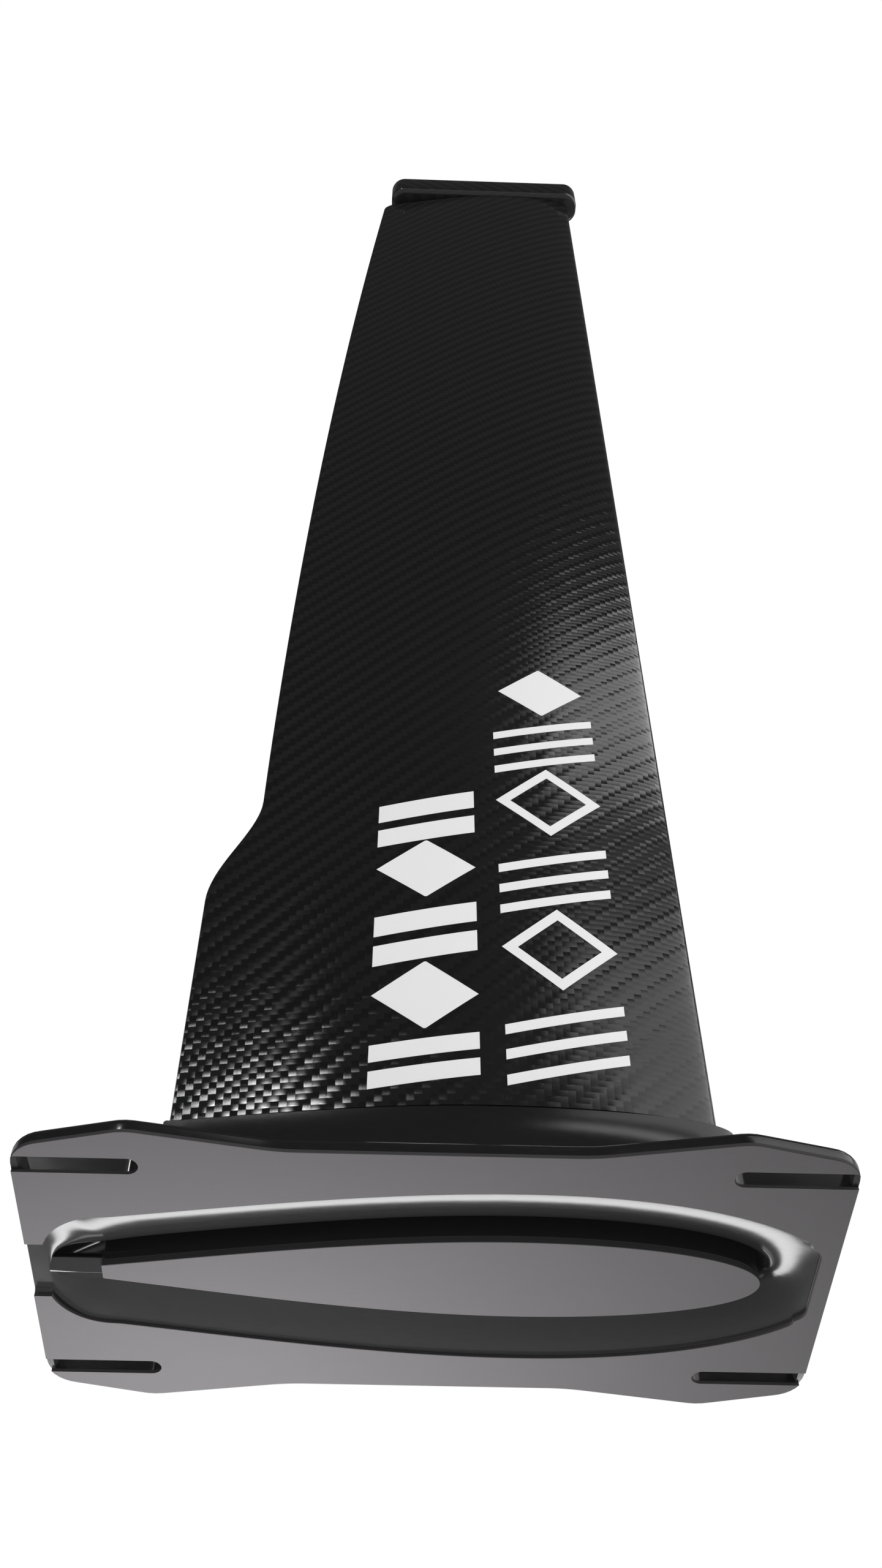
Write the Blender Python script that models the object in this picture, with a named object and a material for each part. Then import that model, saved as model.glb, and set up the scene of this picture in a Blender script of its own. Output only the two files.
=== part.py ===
"""Moulded carbon hydrofoil mast with its board plate at one end and its fuselage foot at the other.

Sizes are millimetres and become metres when a mesh is made.
X runs along the chord with the leading edge at +X, -Y is the port side, and +Z runs along the
mast from the board to the fuselage.  The plate's board-side face is z = 0.
"""
import math
from collections import namedtuple

import bmesh
import bpy
import numpy as np

MM = 0.001
GAP = 0.3

# Board plate.
PLATE_HALF_LENGTH = 110.0
PLATE_TOP = 5.5
PLATE_EDGE_RADIUS = 2.8
SHEET_THICKNESS = 0.7
# Corners of one quarter of the plate outline: x, y and rounding radius.
PLATE_CORNER = (110.0, 51.6, 9.5)
PLATE_PEAK = (80.2, 58.9, 14.0)
PLATE_WAIST = (40.7, 52.0, 60.0)

# Bolt slots on the board's two rails.  They run out of the sheet's ends; in the moulded plate a
# thin wall closes them, given by where it starts at the sheet and at the top.
RAIL_SPACING = 90.0
SLOT_WIDTH = 6.2
SLOT_END_X = 80.1
OPEN_SLOT_END_X = (115.0, 115.0)
CLOSED_SLOT_END_X = (108.2, 107.0)
CUTTER_BOTTOM = -5.0
CUTTER_TOP = PLATE_TOP + 10.0

# Trough between the plate and the mast root, seen from the board side.
TROUGH_TAIL_X = -105.1
TROUGH_NOSE_X = 105.4
TROUGH_TAIL_ARC = (-88.5, 6.2, 17.5)
TROUGH_NOSE_RADIUS = 5.0
RECESS_DEPTH = 1.3
TRUMPET_POWER = 1.55
THROAT_Z = 9.5
TAIL_THROAT_Z = 4.5
TAIL_THROAT_SHARE = 0.2
THROAT_GAP = 1.2
THROAT_START_GAP = 0.84
# Turn of the trumpet's curve at each of its rings, in degrees.
TRUMPET_TURNS = (0.0, 25.0, 48.0, 70.0, 90.0)
NOTCH_HALF_WIDTH = 11.6
NOTCH_FLOOR = 2.2
NOTCH_OVERRUN = 2.0
CUTTER_OVERRUN = 5.0

# Root flare that carries the blade on the plate.
FLARE_TOP = 53.2
FLARE_FOOT_OFFSET = 10.0
FLARE_FOOT_LIMIT_X = 106.8
# How far in from its foot each ring of the flare's outside lies, from its top down.
FLARE_SHARES = (1.0, 0.975, 0.9, 0.76, 0.55, 0.28)
PLUG_STRAIGHT_Z = 10.0
PLUG_TOP = 89.7
THROAT_TOP = 10.7
ROOT_HEIGHTS = (16.0, 24.0, 36.0, FLARE_TOP)
FIN_TAIL_X = -102.4
FIN_TOP = 4.0
CORE_SHEET_THICKNESS = 1.7

# Blade.
BLADE_BOTTOM = 53.8
BLADE_TOP = 829.7
LEADING_X = 85.3
ROOT_TRAILING_X = -78.4
STEP_TRAILING_X = -62.9
STEP_START_Z = 151.0
STEP_END_Z = 206.0
TAPER_START_Z = 190.0
TAPER_SPAN = 600.0
TAPER_RISE = 26.7
TAPER_POWER = 1.71
TIP_CORNER_RADIUS = 13.0
ROOT_HALF_THICKNESS = 10.8
TIP_HALF_THICKNESS = 7.9
TRAILING_HALF_THICKNESS = 0.6
# Thickest point, as a share of the chord from the nose: at the root, and how far it moves by the tip.
WIDEST_SHARE = 0.42
WIDEST_SHIFT = 0.04

# Laminate and core inside the blade.
SKIN = 1.6
SKIN_TAIL_SOLID = 10.0
CAP_THICKNESS = 1.8
WEB_THICKNESS = 3.0
EDGE_STRIP = 11.0
NOSE_RESIN = 3.5
CORE_BOTTOM = 90.0
CORE_TOP = 769.7
TIP_BLOCK_BOTTOM = 770.0
TIP_BLOCK_TOP = 829.4
TIP_BLOCK_HEIGHTS = (TIP_BLOCK_BOTTOM, 817.0, 824.0, TIP_BLOCK_TOP)
FRONT_WEB_X = (46.0, 56.0)
REAR_WEB_X = (-18.0, 6.0)

# Foot that the fuselage bolts to.
FOOT_BOTTOM = 830.0
FOOT_TOP = 850.0
FOOT_TAIL_X = -29.6
FOOT_NOSE_X = 91.2
FOOT_HALF_WIDTH = 10.0
FOOT_CORNER_RADIUS = 8.5
FOOT_ROUND = 3.0
FOOT_END_CHAMFER = 1.0
INSERTS = {"foot_insert_rear": 0.0, "foot_insert_middle": 31.0, "foot_insert_front": 62.0}
INSERT_RADIUS = 5.7
INSERT_LENGTH = 15.0
THREAD_RADIUS = 3.4
THREAD_DEPTH = 13.0
DRILL_POINT = 1.2
INSERT_CHAMFER = 0.6

NOSE_POWER = 2.1
# Cubic thinning of a section from its thickest point to its tail.
TAIL_SQUARE = 1.62
TAIL_CUBE = 0.62
CURVE_POINTS = 160
HALF_POINTS = 20
RIM_POINTS = 42
LOOP_END_BIAS = 0.55

Section = namedtuple("Section", "nose tail widest half tail_half")

MAST_END = Section(90.3, -90.2, 23.0, 16.8, 2.85)
TROUGH = Section(112.0, -87.0, 25.0, 37.0, 23.8)
FLARE_RIM = Section(90.0, -80.0, 16.0, 11.2, 1.2)


# ---------------------------------------------------------------- scene and materials

def clear_scene():
    for item in list(bpy.data.objects):
        bpy.data.objects.remove(item, do_unlink=True)


def make_material(name, color, roughness, metallic=0.0):
    material = bpy.data.materials.new(name)
    material.use_nodes = True
    shader = material.node_tree.nodes["Principled BSDF"]
    shader.inputs["Base Color"].default_value = (*color, 1.0)
    shader.inputs["Roughness"].default_value = roughness
    shader.inputs["Metallic"].default_value = metallic
    return material


def make_materials():
    return {
        "twill": make_material("carbon_twill", (0.012, 0.012, 0.012), 0.22),
        "gloss": make_material("gloss_black", (0.009, 0.009, 0.009), 0.12),
        "sheet": make_material("face_sheet", (0.24, 0.235, 0.24), 0.45),
        "carbon": make_material("unidirectional_carbon", (0.02, 0.02, 0.022), 0.45),
        "block": make_material("solid_laminate", (0.03, 0.03, 0.03), 0.5),
        "foam": make_material("core_foam", (0.72, 0.62, 0.42), 0.9),
        "steel": make_material("stainless_steel", (0.56, 0.55, 0.53), 0.3, 1.0),
    }


# ---------------------------------------------------------------- outlines

def smoothstep(value):
    t = np.clip(value, 0.0, 1.0)
    return t * t * (3.0 - 2.0 * t)


def half_thickness(section, x):
    """Half thickness of an aerofoil section at chord position x."""
    x = np.asarray(x, dtype=float)
    front = np.clip((x - section.widest) / (section.nose - section.widest), 0.0, 1.0)
    rear = np.clip((section.widest - x) / (section.widest - section.tail), 0.0, 1.0)
    nose_side = section.half * (1.0 - front ** NOSE_POWER) ** (1.0 / NOSE_POWER)
    drop = TAIL_SQUARE * rear ** 2 - TAIL_CUBE * rear ** 3
    tail_side = section.half - (section.half - section.tail_half) * drop
    return np.where(x > section.widest, nose_side, tail_side)


def cosine_steps(start, end, count):
    turn = np.linspace(0.0, math.pi, count)
    return start + (end - start) * (1.0 - np.cos(turn)) / 2.0


def resample(points, count=HALF_POINTS):
    """Spread count points along a polyline, closer together towards both ends."""
    points = np.asarray(points, dtype=float)
    steps = np.hypot(*np.diff(points, axis=0).T)
    length = np.concatenate([[0.0], np.cumsum(steps)])
    even = np.linspace(0.0, 1.0, count)
    eased = (1.0 - np.cos(math.pi * even)) / 2.0
    wanted = (even + (eased - even) * LOOP_END_BIAS) * length[-1]
    return np.column_stack([np.interp(wanted, length, points[:, axis]) for axis in (0, 1)])


def half_outline(section, count=HALF_POINTS):
    """Upper half of a section, from its tail to its nose."""
    x = cosine_steps(section.tail, section.nose, CURVE_POINTS)
    curve = np.column_stack([x, half_thickness(section, x)])
    curve[-1, 1] = 0.0
    return resample(np.vstack([[section.tail, 0.0], curve]), count)


def round_corner(corner, before, after, radius, steps=5):
    """Points of the arc that replaces a corner between two straight runs."""
    corner, before, after = (np.asarray(p, dtype=float) for p in (corner, before, after))
    back = (before - corner) / np.linalg.norm(before - corner)
    ahead = (after - corner) / np.linalg.norm(after - corner)
    half_angle = math.acos(float(np.clip(back @ ahead, -1.0, 1.0))) / 2.0
    middle = (back + ahead) / np.linalg.norm(back + ahead)
    centre = corner + middle * radius / math.sin(half_angle)
    start = corner + back * radius / math.tan(half_angle) - centre
    end = corner + ahead * radius / math.tan(half_angle) - centre
    sweep = math.atan2(start[0] * end[1] - start[1] * end[0], start @ end)
    points = []
    for step in range(steps + 1):
        angle = sweep * step / steps
        turn = np.array([[math.cos(angle), -math.sin(angle)], [math.sin(angle), math.cos(angle)]])
        points.append(centre + turn @ start)
    return points


def plate_half_outline(count):
    """Half of the dog-bone plate, from its tail end to its nose end."""
    quarter = [PLATE_WAIST, PLATE_PEAK, PLATE_CORNER]
    path = [(0.0, PLATE_WAIST[1])] + [corner[:2] for corner in quarter] + [(PLATE_HALF_LENGTH, 0.0)]
    nose_side = [path[0]]
    for index, corner in enumerate(quarter, start=1):
        nose_side += round_corner(path[index], path[index - 1], path[index + 1], corner[2])
    nose_side.append(path[-1])
    nose_side = np.array(nose_side)
    tail_side = nose_side[::-1] * (-1.0, 1.0)
    outline = resample(np.vstack([tail_side[:-1], nose_side]), count)
    # Keep the two widest points, which even spacing would step over.
    widest = nose_side[np.argmax(nose_side[:, 1])]
    for side_x in (-1.0, 1.0):
        target = widest * (side_x, 1.0)
        nearest = np.argmin(np.linalg.norm(outline - target, axis=1))
        outline[nearest] = target
    return outline


def trough_half_outline(count=HALF_POINTS):
    """Half of the trough's mouth: a flat tail, an arc, an aerofoil side and a clipped nose."""
    centre_x, centre_y, radius = TROUGH_TAIL_ARC
    first = math.acos((TROUGH_TAIL_X - centre_x) / radius)
    angles = np.linspace(first, math.pi / 2.0, 12)
    arc = np.column_stack([centre_x + radius * np.cos(angles), centre_y + radius * np.sin(angles)])
    x = np.linspace(TROUGH.tail, TROUGH_NOSE_X - 1.0, 60)
    side = np.column_stack([x, half_thickness(TROUGH, x)])
    corner = (TROUGH_NOSE_X, float(half_thickness(TROUGH, TROUGH_NOSE_X)))
    nose = round_corner(corner, side[-14], (TROUGH_NOSE_X, 0.0), TROUGH_NOSE_RADIUS)
    side = side[side[:, 0] < nose[0][0]]
    return resample(np.vstack([[TROUGH_TAIL_X, 0.0], arc, side, nose, [TROUGH_NOSE_X, 0.0]]), count)


def fin_half_outline(count=HALF_POINTS):
    """Mast end with the narrow land that runs on from its tail to the notch."""
    x = cosine_steps(MAST_END.tail, MAST_END.nose, CURVE_POINTS)
    curve = np.column_stack([x, half_thickness(MAST_END, x)])
    curve[-1, 1] = 0.0
    return resample(np.vstack([[FIN_TAIL_X, 0.0], [FIN_TAIL_X, MAST_END.tail_half], curve]), count)


def closed_loop(half):
    """Full outline from its upper half, which starts and ends on the chord line."""
    return np.vstack([half, half[-2:0:-1] * (1.0, -1.0)])


def offset_loop(loop, distance):
    """Move each point of a clockwise-closed outline outwards by distance."""
    ahead = np.roll(loop, -1, axis=0)
    behind = np.roll(loop, 1, axis=0)
    along = ahead - behind
    along /= np.linalg.norm(along, axis=1)[:, None]
    outward = np.column_stack([-along[:, 1], along[:, 0]])
    return loop + outward * distance


def offset_half(half, distance):
    return offset_loop(closed_loop(half), distance)[:len(half)]


# ---------------------------------------------------------------- blade shape

def trailing_x(z):
    """Chord position of the trailing edge at height z."""
    taper = max(z - TAPER_START_Z, 0.0) / TAPER_SPAN
    upper = STEP_TRAILING_X + TAPER_RISE * taper ** TAPER_POWER
    blend = float(smoothstep((z - STEP_START_Z) / (STEP_END_Z - STEP_START_Z)))
    into_corner = z - (FOOT_BOTTOM - TIP_CORNER_RADIUS)
    rounding = 0.0
    if into_corner > 0.0:
        rounding = TIP_CORNER_RADIUS - math.sqrt(TIP_CORNER_RADIUS ** 2 - into_corner ** 2)
    return ROOT_TRAILING_X * (1.0 - blend) + upper * blend + rounding


def blade_section(z):
    tail = trailing_x(z)
    span = (z - BLADE_BOTTOM) / (BLADE_TOP - BLADE_BOTTOM)
    half = ROOT_HALF_THICKNESS + (TIP_HALF_THICKNESS - ROOT_HALF_THICKNESS) * span
    widest = LEADING_X - (LEADING_X - tail) * (WIDEST_SHARE - WIDEST_SHIFT * span)
    return Section(LEADING_X, tail, widest, half, TRAILING_HALF_THICKNESS)


def inner_section(z, extra=0.0):
    """Space inside the skin, with an extra allowance taken off it."""
    outer = blade_section(z)
    inset = SKIN + extra
    tail = outer.tail + SKIN_TAIL_SOLID + 2.0 * extra
    nose = outer.nose - SKIN - 4.0 * extra
    return Section(nose, tail, outer.widest, outer.half - inset, GAP / 2.0)


def blend_halves(lower, upper, share):
    return lower * (1.0 - share) + upper * share


def plug_half_outline(z, count=HALF_POINTS):
    """Mast root: the full end section low down, the space inside the skin higher up."""
    lower = half_outline(MAST_END, count)
    upper = half_outline(inner_section(max(z, BLADE_BOTTOM), 2.0 * GAP), count)
    rise = float(np.clip((z - PLUG_STRAIGHT_Z) / (FLARE_TOP - 1.0 - PLUG_STRAIGHT_Z), 0.0, 1.0))
    return blend_halves(lower, upper, 1.0 - (1.0 - rise) ** 2)


# ---------------------------------------------------------------- mesh makers

def make_object(name, verts, faces, material, smooth=True):
    mesh = bpy.data.meshes.new(name)
    mesh.from_pydata([tuple(float(c) * MM for c in v) for v in verts], [], faces)
    work = bmesh.new()
    work.from_mesh(mesh)
    bmesh.ops.recalc_face_normals(work, faces=work.faces)
    work.to_mesh(mesh)
    work.free()
    mesh.materials.append(material)
    if smooth:
        mesh.shade_smooth()
        mesh.set_sharp_from_angle(angle=math.radians(35.0))
    item = bpy.data.objects.new(name, mesh)
    bpy.context.scene.collection.objects.link(item)
    return item


def loft(name, rings, material, closed=False, smooth=True):
    """Join rings of equal length, either end to end with caps or round into a closed band."""
    size = len(rings[0])
    verts = [tuple(point) for ring in rings for point in ring]
    faces = []
    last = len(rings) if closed else len(rings) - 1
    for row in range(last):
        base = row * size
        above = ((row + 1) % len(rings)) * size
        for i in range(size):
            j = (i + 1) % size
            faces.append((base + i, base + j, above + j, above + i))
    if not closed:
        faces.append(tuple(range(size)))
        faces.append(tuple((len(rings) - 1) * size + i for i in range(size)))
    return make_object(name, verts, faces, material, smooth)


def at_height(outline, z):
    return np.column_stack([outline, np.broadcast_to(z, len(outline))])


def cut(item, cutter):
    """Take a cutter's shape out of an object."""
    cutter.hide_render = True
    cutter.display_type = "WIRE"
    modifier = item.modifiers.new("cut_" + cutter.name, "BOOLEAN")
    modifier.operation = "DIFFERENCE"
    modifier.object = cutter


def block_cutter(name, low, high, material):
    xs, ys, zs = zip(low, high)
    loop = [(xs[0], ys[0]), (xs[0], ys[1]), (xs[1], ys[1]), (xs[1], ys[0])]
    rings = [[(x, y, z) for x, y in loop] for z in zs]
    return loft(name, rings, material, smooth=False)


def slot_cutter(name, side_x, side_y, end_x, material):
    """Round-ended prism.  end_x is where its outer end lies at the sheet and at the plate's top."""
    radius = SLOT_WIDTH / 2.0
    centre_y = side_y * RAIL_SPACING / 2.0
    inner_end = []
    for angle in np.linspace(-math.pi / 2.0, math.pi / 2.0, 9):
        x = side_x * (SLOT_END_X - radius * math.cos(angle))
        inner_end.append((x, centre_y + radius * math.sin(angle)))
    low_x, high_x = end_x
    stations = ((CUTTER_BOTTOM, low_x), (SHEET_THICKNESS, low_x), (PLATE_TOP, high_x), (CUTTER_TOP, high_x))
    rings = []
    for z, outer_x in stations:
        outer_end = [(side_x * outer_x, centre_y + radius), (side_x * outer_x, centre_y - radius)]
        rings.append([(x, y, z) for x, y in inner_end + outer_end])
    return loft(name, rings, material, smooth=False)


# ---------------------------------------------------------------- plate and root

def rim_loops(count):
    """Plate outline and trough mouth as loops with matching points."""
    return closed_loop(plate_half_outline(count)), closed_loop(trough_half_outline(count))


def cut_plate(item, slot_end_x, material):
    for side_x, end in ((-1, "tail"), (1, "nose")):
        for side_y, side in ((-1, "port"), (1, "starboard")):
            name = "slot_%s_%s_%s" % (item.name, end, side)
            cut(item, slot_cutter(name, side_x, side_y, slot_end_x, material))
    low = (-PLATE_HALF_LENGTH - CUTTER_OVERRUN, -NOTCH_HALF_WIDTH, CUTTER_BOTTOM)
    high = (TROUGH_TAIL_X + NOTCH_OVERRUN, NOTCH_HALF_WIDTH, NOTCH_FLOOR)
    cut(item, block_cutter("notch_" + item.name, low, high, material))


def plate_face_sheet(materials):
    outer, hole = rim_loops(RIM_POINTS)
    rings = [at_height(outer, 0.0), at_height(outer, SHEET_THICKNESS)]
    rings += [at_height(hole, SHEET_THICKNESS), at_height(hole, 0.0)]
    item = loft("plate_face_sheet", rings, materials["sheet"], closed=True)
    cut_plate(item, OPEN_SLOT_END_X, materials["sheet"])


def flare_foot(trough_half):
    foot = offset_half(trough_half, FLARE_FOOT_OFFSET)
    foot[:, 0] = np.clip(foot[:, 0], -FLARE_FOOT_LIMIT_X, FLARE_FOOT_LIMIT_X)
    foot[[0, -1], 1] = 0.0
    return foot


def fillet_height(share):
    """Height of the flare's outer surface: share is 0 at its foot and 1 at its top."""
    return FLARE_TOP - (FLARE_TOP - PLATE_TOP) * np.sqrt(np.maximum(1.0 - share ** 2, 0.0))


def trough_share(count):
    """How far in from the flare's foot the trough's outline lies, point by point."""
    trough = trough_half_outline(count)
    foot = flare_foot(trough)
    rim = half_outline(FLARE_RIM, count)
    return np.linalg.norm(trough - foot, axis=1) / np.linalg.norm(rim - foot, axis=1)


def mirror_values(values):
    return np.concatenate([values, values[-2:0:-1]])


def top_plate(materials):
    count = RIM_POINTS
    outer, hole = rim_loops(count)
    bottom = SHEET_THICKNESS + GAP
    rings = [at_height(outer, bottom), at_height(outer, PLATE_TOP - PLATE_EDGE_RADIUS)]
    for angle in (30.0, 60.0, 90.0):
        turn = math.radians(angle)
        inset = offset_loop(outer, -PLATE_EDGE_RADIUS * (1.0 - math.cos(turn)))
        rings.append(at_height(inset, PLATE_TOP - PLATE_EDGE_RADIUS * (1.0 - math.sin(turn))))
    foot = closed_loop(flare_foot(trough_half_outline(count)))
    share = mirror_values(trough_share(count))
    rings.append(at_height(foot, PLATE_TOP))
    rings.append(at_height((foot + hole) / 2.0, fillet_height(share / 2.0)))
    rings.append(at_height(hole, fillet_height(share)))
    rings.append(at_height(hole, bottom))
    item = loft("top_plate", rings, materials["gloss"], closed=True)
    cut_plate(item, CLOSED_SLOT_END_X, materials["gloss"])


def throat_heights(count):
    """Where the trumpet ends: shallow at the tail, full depth a little way forward of it."""
    along = np.linspace(0.0, 1.0, count)
    return TAIL_THROAT_Z + (THROAT_Z - TAIL_THROAT_Z) * smoothstep(along / TAIL_THROAT_SHARE)


def fairing_profiles():
    """Rings of outline points that run over the board side, up inside, and down the outside."""
    count = RIM_POINTS
    trough = offset_half(trough_half_outline(count), -GAP)
    throat = offset_half(fin_half_outline(count), THROAT_START_GAP)
    start = RECESS_DEPTH + GAP
    drop = throat_heights(count) - start
    rows = []
    for angle in TRUMPET_TURNS:
        inward = math.sin(math.radians(angle))
        fall = 1.0 - (1.0 - inward ** TRUMPET_POWER) ** (1.0 / TRUMPET_POWER)
        rows.append(at_height(trough + (throat - trough) * inward, start + drop * fall))
    for z in (THROAT_TOP, *ROOT_HEIGHTS):
        clearance = GAP + (THROAT_GAP - GAP) * (FLARE_TOP - z) / FLARE_TOP
        rows.append(at_height(offset_half(plug_half_outline(z, count), clearance), z))
    foot = flare_foot(trough_half_outline(count))
    rim = half_outline(FLARE_RIM, count)
    edge = trough_share(count)
    for fraction in FLARE_SHARES:
        share = edge + (1.0 - edge) * fraction
        outline = foot + (rim - foot) * share[:, None]
        rows.append(at_height(outline, fillet_height(share)))
    rows.append(at_height(trough, fillet_height(edge)))
    return np.array(rows)


def root_fairings(materials):
    """Two moulded halves of the flare, which meet on the chord plane."""
    rows = fairing_profiles()
    rows[:, :, 1] = np.maximum(rows[:, :, 1], GAP / 2.0)
    stations = rows.transpose(1, 0, 2)
    for name, side in (("root_fairing_port", -1.0), ("root_fairing_starboard", 1.0)):
        loft(name, list(stations * (1.0, side, 1.0)), materials["gloss"])


def root_plug(materials):
    """Solid mast root, from the land at the trough's tail up into the blade."""
    fin = closed_loop(fin_half_outline())
    start = CORE_SHEET_THICKNESS + GAP
    rings = [at_height(fin, start), at_height(fin, FIN_TOP)]
    for z in (FIN_TOP + GAP, PLUG_STRAIGHT_Z, *ROOT_HEIGHTS, PLUG_TOP):
        rings.append(at_height(closed_loop(plug_half_outline(z)), z))
    loft("root_plug", rings, materials["block"])


def core_face_sheet(materials):
    loop = closed_loop(half_outline(MAST_END))
    rings = [at_height(loop, 0.0), at_height(loop, CORE_SHEET_THICKNESS)]
    loft("core_face_sheet", rings, materials["sheet"])


# ---------------------------------------------------------------- blade pieces

BLADE_STATIONS = (BLADE_BOTTOM, STEP_START_Z, 164.0, 178.0, 192.0, STEP_END_Z, 290.0, 380.0, 470.0,
                  560.0, 640.0, 720.0, 790.0, 817.0, 823.0, 827.0, BLADE_TOP)
CORE_STATIONS = (CORE_BOTTOM, STEP_START_Z, 164.0, 178.0, 192.0, STEP_END_Z, 330.0, 470.0, 620.0, CORE_TOP)


def skin_ring(z, side):
    outer = half_outline(blade_section(z))
    inner = half_outline(inner_section(z), HALF_POINTS - 4)[::-1]
    points = np.vstack([outer, inner])
    points[:, 1] = np.maximum(points[:, 1], GAP / 2.0)
    return at_height(points * (1.0, side), z)


def mast_skins(materials):
    for name, side in (("mast_skin_port", -1.0), ("mast_skin_starboard", 1.0)):
        loft(name, [skin_ring(z, side) for z in BLADE_STATIONS], materials["twill"])


def core_span(z):
    return (z - CORE_BOTTOM) / (CORE_TOP - CORE_BOTTOM)


def web_x(limits, z):
    return limits[0] + (limits[1] - limits[0]) * core_span(z)


def filled_ring(z, rear, front, top, bottom, count):
    """Closed ring of a piece between two chord positions and two surfaces of y over x."""
    x = np.linspace(rear, front, count)
    upper = np.column_stack([x, top(x)])
    lower = np.column_stack([x, bottom(x)])[::-1]
    return at_height(np.vstack([upper, lower]), z)


def core_piece(name, material, limits, allowance=0.0, side=0, thickness=0.0, count=6):
    """Piece inside the blade.  limits gives its rear and front at height z.

    With side 0 it fills the space between the two skins, less the allowance on each.  With side
    -1 or 1 it is a layer of the given thickness against that skin.
    """
    rings = []
    for z in CORE_STATIONS:
        rear, front = limits(z)
        section = inner_section(z, 2.0 * GAP)

        def surface(x, section=section):
            return half_thickness(section, x) - allowance

        if side:
            top = (lambda x, s=surface: side * s(x))
            bottom = (lambda x, s=surface: side * (s(x) - thickness))
        else:
            top = surface
            bottom = (lambda x, s=surface: -s(x))
        rings.append(filled_ring(z, rear, front, top, bottom, count))
    loft(name, rings, material)


def blade_core(materials):
    """Foam cores, shear webs, spar caps and edge strips, in order from the nose to the tail."""
    under_cap = CAP_THICKNESS + GAP

    def strip_front(z):
        nose = inner_section(z, GAP).nose
        return nose - NOSE_RESIN - EDGE_STRIP, nose - NOSE_RESIN

    def foam_nose(z):
        return web_x(FRONT_WEB_X, z) + WEB_THICKNESS + GAP, strip_front(z)[0] - GAP

    def web_front(z):
        return web_x(FRONT_WEB_X, z), web_x(FRONT_WEB_X, z) + WEB_THICKNESS

    def web_rear(z):
        return web_x(REAR_WEB_X, z) - WEB_THICKNESS, web_x(REAR_WEB_X, z)

    def foam_centre(z):
        return web_rear(z)[1] + GAP, web_front(z)[0] - GAP

    def caps(z):
        return web_rear(z)[0], web_front(z)[1]

    def strip_rear(z):
        tail = inner_section(z, GAP).tail
        return tail + GAP, tail + EDGE_STRIP

    def foam_tail(z):
        return strip_rear(z)[1] + GAP, web_rear(z)[0] - GAP

    core_piece("leading_edge_strip", materials["block"], strip_front, count=7)
    core_piece("foam_core_nose", materials["foam"], foam_nose)
    core_piece("shear_web_front", materials["carbon"], web_front, under_cap, count=2)
    core_piece("foam_core_centre", materials["foam"], foam_centre, under_cap)
    core_piece("shear_web_rear", materials["carbon"], web_rear, under_cap, count=2)
    core_piece("foam_core_tail", materials["foam"], foam_tail, count=5)
    core_piece("trailing_edge_strip", materials["block"], strip_rear, count=3)
    for name, side in (("spar_cap_port", -1), ("spar_cap_starboard", 1)):
        core_piece(name, materials["carbon"], caps, side=side, thickness=CAP_THICKNESS, count=8)


def tip_block(materials):
    rings = []
    for z in TIP_BLOCK_HEIGHTS:
        rings.append(at_height(closed_loop(half_outline(inner_section(z, 2.0 * GAP))), z))
    loft("tip_block", rings, materials["block"])


# ---------------------------------------------------------------- foot

def foot_loop(inset):
    """Bar outline with rounded corners, drawn in by inset."""
    half = FOOT_HALF_WIDTH - inset
    tail, nose = FOOT_TAIL_X + inset, FOOT_NOSE_X - inset
    radius = FOOT_CORNER_RADIUS - inset
    points = [(tail, 0.0)]
    points += round_corner((tail, half), (tail, 0.0), (nose, half), radius, 6)
    points += round_corner((nose, half), (tail, half), (nose, 0.0), radius, 6)
    points.append((nose, 0.0))
    return closed_loop(np.array(points))


def foot_bar(materials):
    rings = []
    for angle in (0.0, 30.0, 60.0, 90.0):
        turn = math.radians(angle)
        inset = FOOT_ROUND * (1.0 - math.sin(turn))
        rings.append(at_height(foot_loop(inset), FOOT_BOTTOM + FOOT_ROUND * (1.0 - math.cos(turn))))
    rings.append(at_height(foot_loop(0.0), FOOT_TOP - FOOT_END_CHAMFER))
    rings.append(at_height(foot_loop(FOOT_END_CHAMFER), FOOT_TOP))
    item = loft("foot_bar", rings, materials["twill"])
    pocket = INSERT_RADIUS + GAP
    bottom = FOOT_TOP - INSERT_LENGTH - GAP
    for name, x in INSERTS.items():
        end = FOOT_TOP + CUTTER_OVERRUN
        profile = [(0.0, bottom), (pocket, bottom), (pocket, end), (0.0, end)]
        cut(item, turned("pocket_" + name, profile, x, materials["steel"]))


def turned(name, profile, x, material, steps=24):
    """Body of revolution about a line along Z through (x, 0).  The profile starts and ends on it."""
    verts = [(x, 0.0, profile[0][1]), (x, 0.0, profile[-1][1])]
    inner = profile[1:-1]
    for radius, z in inner:
        for step in range(steps):
            angle = 2.0 * math.pi * step / steps
            verts.append((x + radius * math.cos(angle), radius * math.sin(angle), z))
    faces = []
    for step in range(steps):
        following = (step + 1) % steps
        faces.append((0, 2 + step, 2 + following))
        for row in range(len(inner) - 1):
            low = 2 + row * steps
            high = low + steps
            faces.append((low + step, low + following, high + following, high + step))
        top = 2 + (len(inner) - 1) * steps
        faces.append((1, top + step, top + following))
    return make_object(name, verts, faces, material)


def foot_inserts(materials):
    """Blind threaded bushes for the fuselage screws."""
    bottom = FOOT_TOP - INSERT_LENGTH
    thread_bottom = FOOT_TOP - THREAD_DEPTH
    profile = [(0.0, bottom), (INSERT_RADIUS - INSERT_CHAMFER, bottom),
               (INSERT_RADIUS, bottom + INSERT_CHAMFER), (INSERT_RADIUS, FOOT_TOP),
               (THREAD_RADIUS + INSERT_CHAMFER, FOOT_TOP), (THREAD_RADIUS, FOOT_TOP - INSERT_CHAMFER),
               (THREAD_RADIUS, thread_bottom), (0.0, thread_bottom - DRILL_POINT)]
    for name, x in INSERTS.items():
        turned(name, profile, x, materials["steel"])


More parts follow.
